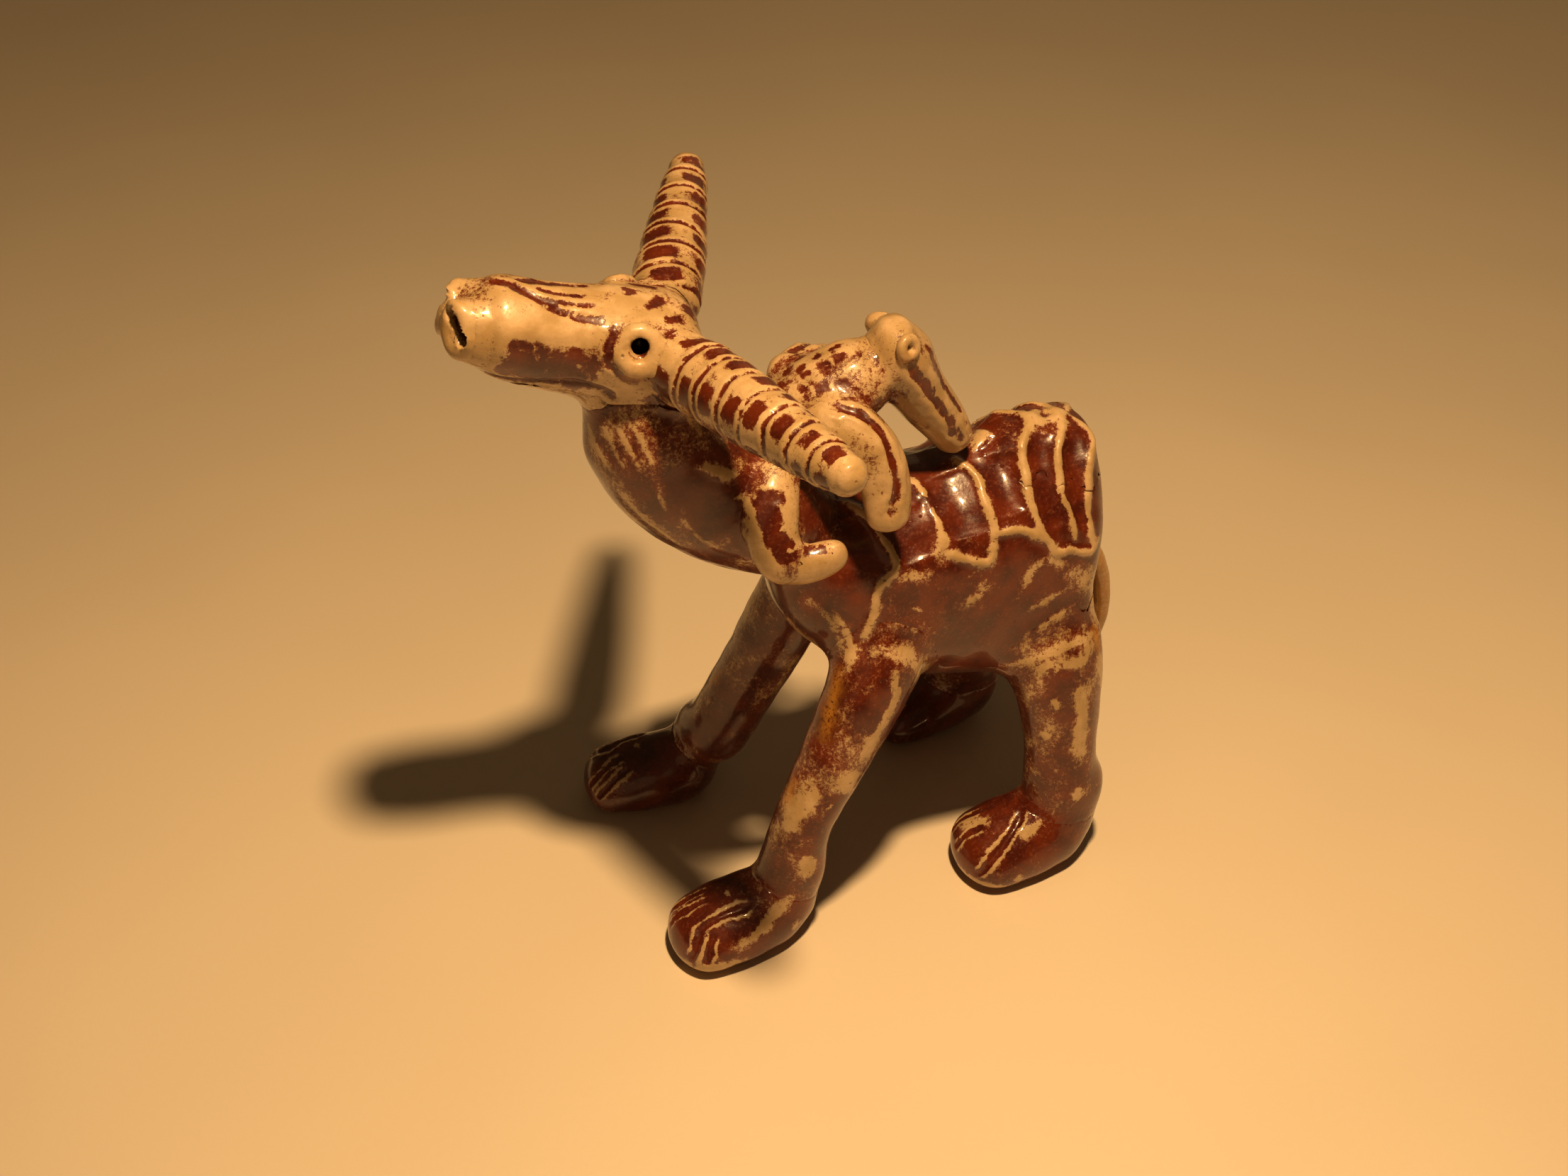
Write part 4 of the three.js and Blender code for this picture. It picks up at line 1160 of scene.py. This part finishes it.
def sweep_floor(context):
    """A round card floor whose far rim curves up, so that every view has a plain pale ground."""
    profile = [(FLAT * k / 16, 0.0) for k in range(1, 17)]
    profile += [(FLAT + RIM * math.sin(a), RIM - RIM * math.cos(a))
                for a in (math.pi / 2 * k / 12 for k in range(1, 13))]
    profile.append((FLAT + RIM, WALL))
    points, faces = [(0.0, 0.0, 0.0)], []
    for radius, height in profile:
        for k in range(SPOKES):
            angle = 2 * math.pi * k / SPOKES
            points.append((radius * math.cos(angle), radius * math.sin(angle), height))
    for k in range(SPOKES):
        faces.append((0, 1 + k, 1 + (k + 1) % SPOKES))
    for ring in range(len(profile) - 1):
        first, second = 1 + ring * SPOKES, 1 + (ring + 1) * SPOKES
        for k in range(SPOKES):
            after = (k + 1) % SPOKES
            faces.append((first + k, second + k, second + after, first + after))
    mesh = bpy.data.meshes.new("floor")
    mesh.from_pydata(points, [], faces)
    mesh.shade_smooth()
    floor = bpy.data.objects.new("floor", mesh)
    floor.location.z = -0.00005
    context.scene.collection.objects.link(floor)
    mesh.materials.append(paper(context))


def hang_lamp(context, name, position, target, size, power, beam):
    """A soft round lamp that faces its target."""
    colour = context.scene.alebrije_studio.lamp_colour
    data = bpy.data.lights.new(name, "AREA")
    data.shape, data.size, data.energy, data.color, data.spread = "DISK", size, power, colour, beam
    lamp = bpy.data.objects.new(name, data)
    context.scene.collection.objects.link(lamp)
    lamp.location = position
    lamp.rotation_euler = (Vector(target) - Vector(position)).to_track_quat("-Z", "Y").to_euler()


def light_stage(context):
    """A warm lamp almost overhead, wide weak ones by the camera and behind, and a dim warm room."""
    studio = context.scene.alebrije_studio
    middle, _ = figure_middle()
    for name, (place, aim, size, share) in LAMPS.items():
        beam = studio.lamp_beam if name == "overhead_lamp" else math.pi
        hang_lamp(context, name, middle + Vector(place), middle + Vector(aim), size,
                  studio.lamp_power * share, beam)
    world = bpy.data.worlds.new("room")
    world.use_nodes = True
    ground = world.node_tree.nodes["Background"]
    ground.inputs[0].default_value = tuple(studio.lamp_colour) + (1.0,)
    ground.inputs[1].default_value = studio.room_light
    context.scene.world = world
    context.scene.view_settings.view_transform = "Standard"
    context.scene.view_settings.gamma = GAMMA


# ---------------------------------------------------------------- settings, operators and panel


def colour_property(name, description, default):
    """A colour that the panel shows."""
    return bpy.props.FloatVectorProperty(name=name, description=description, default=default + (1.0,),
                                         subtype="COLOR", size=4, min=0.0, max=1.0)


class AlebrijeClay(bpy.types.PropertyGroup):
    """How fine the clay is modelled and how far its seams are smoothed over."""
    grain: bpy.props.FloatProperty(name="Grain", description="Spacing of the modelled surface",
                                   default=0.00042, min=0.0003, max=0.002, unit="LENGTH")
    seam: bpy.props.FloatProperty(name="Seam", description="Width over which pressed seams are smoothed",
                                  default=0.0016, min=0.0001, max=0.004, unit="LENGTH")
    finish: bpy.props.FloatProperty(name="Finish", description="How far the clay is wiped smooth",
                                    default=0.0008, min=0.0003, max=0.002, unit="LENGTH")


class AlebrijeGlaze(bpy.types.PropertyGroup):
    """The colours that the glaze breaks into."""
    cream: colour_property("Cream", "Glaze on crowns and edges", (0.66, 0.47, 0.27))
    straw: colour_property("Straw", "Thinner, yellower cream", (0.50, 0.34, 0.16))
    brick: colour_property("Brick", "Glaze in flats and hollows", (0.165, 0.027, 0.005))
    deep_red: colour_property("Deep red", "Thick glaze, almost black-red", (0.085, 0.012, 0.004))
    rust: colour_property("Rust", "The fringe between the two", (0.29, 0.085, 0.036))
    scuff: colour_property("Scuff", "Pinkish rubs in the cream", (0.50, 0.25, 0.15))
    iron: colour_property("Iron", "Small dark specks", (0.09, 0.035, 0.018))
    amber: colour_property("Amber", "Yellow runs", (0.52, 0.24, 0.03))
    # Painted shade colour for the inside of the eye holes and nostril slots.
    soot: colour_property("Soot", "The dark inside the eye and nostril holes", (0.012, 0.006, 0.003))
    bare_clay: colour_property("Bare clay", "Unglazed edges under the paws", (0.48, 0.24, 0.11))


class AlebrijeStudio(bpy.types.PropertyGroup):
    """The camera, the lamps and the floor."""
    lens: bpy.props.FloatProperty(name="Lens", description="Focal length", default=51.54, min=10.0,
                                  unit="CAMERA")
    camera_turn: bpy.props.FloatProperty(name="Turn", description="Angle round the figure", subtype="ANGLE",
                                         default=math.radians(21))
    camera_lift: bpy.props.FloatProperty(name="Lift", description="Angle above the floor", subtype="ANGLE",
                                         default=math.radians(39))
    camera_distance: bpy.props.FloatProperty(name="Distance", description="From the lens to the figure",
                                             default=0.3774, min=0.1, unit="LENGTH")
    lamp_power: bpy.props.FloatProperty(name="Lamp", description="Power of the overhead lamp", default=1.95,
                                        min=0.0, unit="POWER")
    lamp_beam: bpy.props.FloatProperty(name="Beam", description="How wide the overhead lamp shines",
                                       subtype="ANGLE", default=math.radians(152))
    room_light: bpy.props.FloatProperty(name="Room light", description="Strength of the room's own light",
                                        default=0.07, min=0.0)
    lamp_colour: bpy.props.FloatVectorProperty(name="Lamp colour", description="Warmth of the light",
                                               subtype="COLOR", size=3, default=(1.0, 0.68, 0.34))
    floor_colour: colour_property("Floor", "Pale card", (0.82, 0.71, 0.57))


class ALEBRIJE_OT_stage(bpy.types.Operator):
    """Sets the camera, the pale floor and the soft warm light"""
    bl_idname = "alebrije.stage"
    bl_label = "Stage"

    def execute(self, context):
        set_camera(context)
        sweep_floor(context)
        light_stage(context)
        return {"FINISHED"}


class ALEBRIJE_OT_trunk(bpy.types.Operator):
    """Models the torso, the fluted hump and the short tail"""
    bl_idname = "alebrije.trunk"
    bl_label = "Trunk"

    def execute(self, context):
        return model_group(context, TRUNK)


class ALEBRIJE_OT_legs(bpy.types.Operator):
    """Models the four legs"""
    bl_idname = "alebrije.legs"
    bl_label = "Legs"

    def execute(self, context):
        return model_group(context, LEGS)


class ALEBRIJE_OT_paws(bpy.types.Operator):
    """Models the four paws with their toe grooves"""
    bl_idname = "alebrije.paws"
    bl_label = "Paws"

    def execute(self, context):
        return model_group(context, PAWS)


class ALEBRIJE_OT_neck(bpy.types.Operator):
    """Models the thick neck"""
    bl_idname = "alebrije.neck"
    bl_label = "Neck"

    def execute(self, context):
        return model_group(context, ("neck",))


class ALEBRIJE_OT_face(bpy.types.Operator):
    """Models the head, the lower jaw and the nostrils with their slots"""
    bl_idname = "alebrije.face"
    bl_label = "Face"

    def execute(self, context):
        return model_group(context, FACE)


class ALEBRIJE_OT_eyes(bpy.types.Operator):
    """Models the beast's two pierced eyes"""
    bl_idname = "alebrije.eyes"
    bl_label = "Eyes"

    def execute(self, context):
        return model_group(context, EYES)


class ALEBRIJE_OT_horns(bpy.types.Operator):
    """Models the two ringed horns"""
    bl_idname = "alebrije.horns"
    bl_label = "Horns"

    def execute(self, context):
        return model_group(context, HORNS)


class ALEBRIJE_OT_rider(bpy.types.Operator):
    """Models the rider's body and long head"""
    bl_idname = "alebrije.rider"
    bl_label = "Rider"

    def execute(self, context):
        return model_group(context, RIDER)


class ALEBRIJE_OT_rider_eyes(bpy.types.Operator):
    """Models the rider's ring eyes"""
    bl_idname = "alebrije.rider_eyes"
    bl_label = "Rider's eyes"

    def execute(self, context):
        return model_group(context, RIDER_EYES)


class ALEBRIJE_OT_rider_limbs(bpy.types.Operator):
    """Models the rider's arms, legs and feet"""
    bl_idname = "alebrije.rider_limbs"
    bl_label = "Rider's limbs"

    def execute(self, context):
        return model_group(context, RIDER_LIMBS + RIDER_FEET)


OPERATORS = (
    ALEBRIJE_OT_stage, ALEBRIJE_OT_trunk, ALEBRIJE_OT_legs, ALEBRIJE_OT_paws, ALEBRIJE_OT_neck,
    ALEBRIJE_OT_face, ALEBRIJE_OT_eyes, ALEBRIJE_OT_horns, ALEBRIJE_OT_rider, ALEBRIJE_OT_rider_eyes,
    ALEBRIJE_OT_rider_limbs,
)


class ALEBRIJE_PT_sidebar(bpy.types.Panel):
    """Lists the stage and the figure's pieces"""
    bl_idname = "ALEBRIJE_PT_sidebar"
    bl_label = "Alebrije"
    bl_space_type = "VIEW_3D"
    bl_region_type = "UI"
    bl_category = "Alebrije"

    def draw(self, context):
        layout = self.layout
        for operator in OPERATORS:
            layout.operator(operator.bl_idname)
        for settings in (context.scene.alebrije_clay, context.scene.alebrije_glaze,
                         context.scene.alebrije_studio):
            box = layout.box()
            for key in settings.__class__.__annotations__:
                box.prop(settings, key)


CLASSES = (AlebrijeClay, AlebrijeGlaze, AlebrijeStudio) + OPERATORS + (ALEBRIJE_PT_sidebar,)


def register():
    for made in CLASSES:
        bpy.utils.register_class(made)
    bpy.types.Scene.alebrije_clay = bpy.props.PointerProperty(type=AlebrijeClay)
    bpy.types.Scene.alebrije_glaze = bpy.props.PointerProperty(type=AlebrijeGlaze)
    bpy.types.Scene.alebrije_studio = bpy.props.PointerProperty(type=AlebrijeStudio)


def unregister():
    del bpy.types.Scene.alebrije_studio
    del bpy.types.Scene.alebrije_glaze
    del bpy.types.Scene.alebrije_clay
    for made in reversed(CLASSES):
        bpy.utils.unregister_class(made)


def main():
    register()
    for operator in OPERATORS:
        part = operator.bl_idname.split(".")[1]
        getattr(bpy.ops.alebrije, part)()


if __name__ == "__main__":
    main()
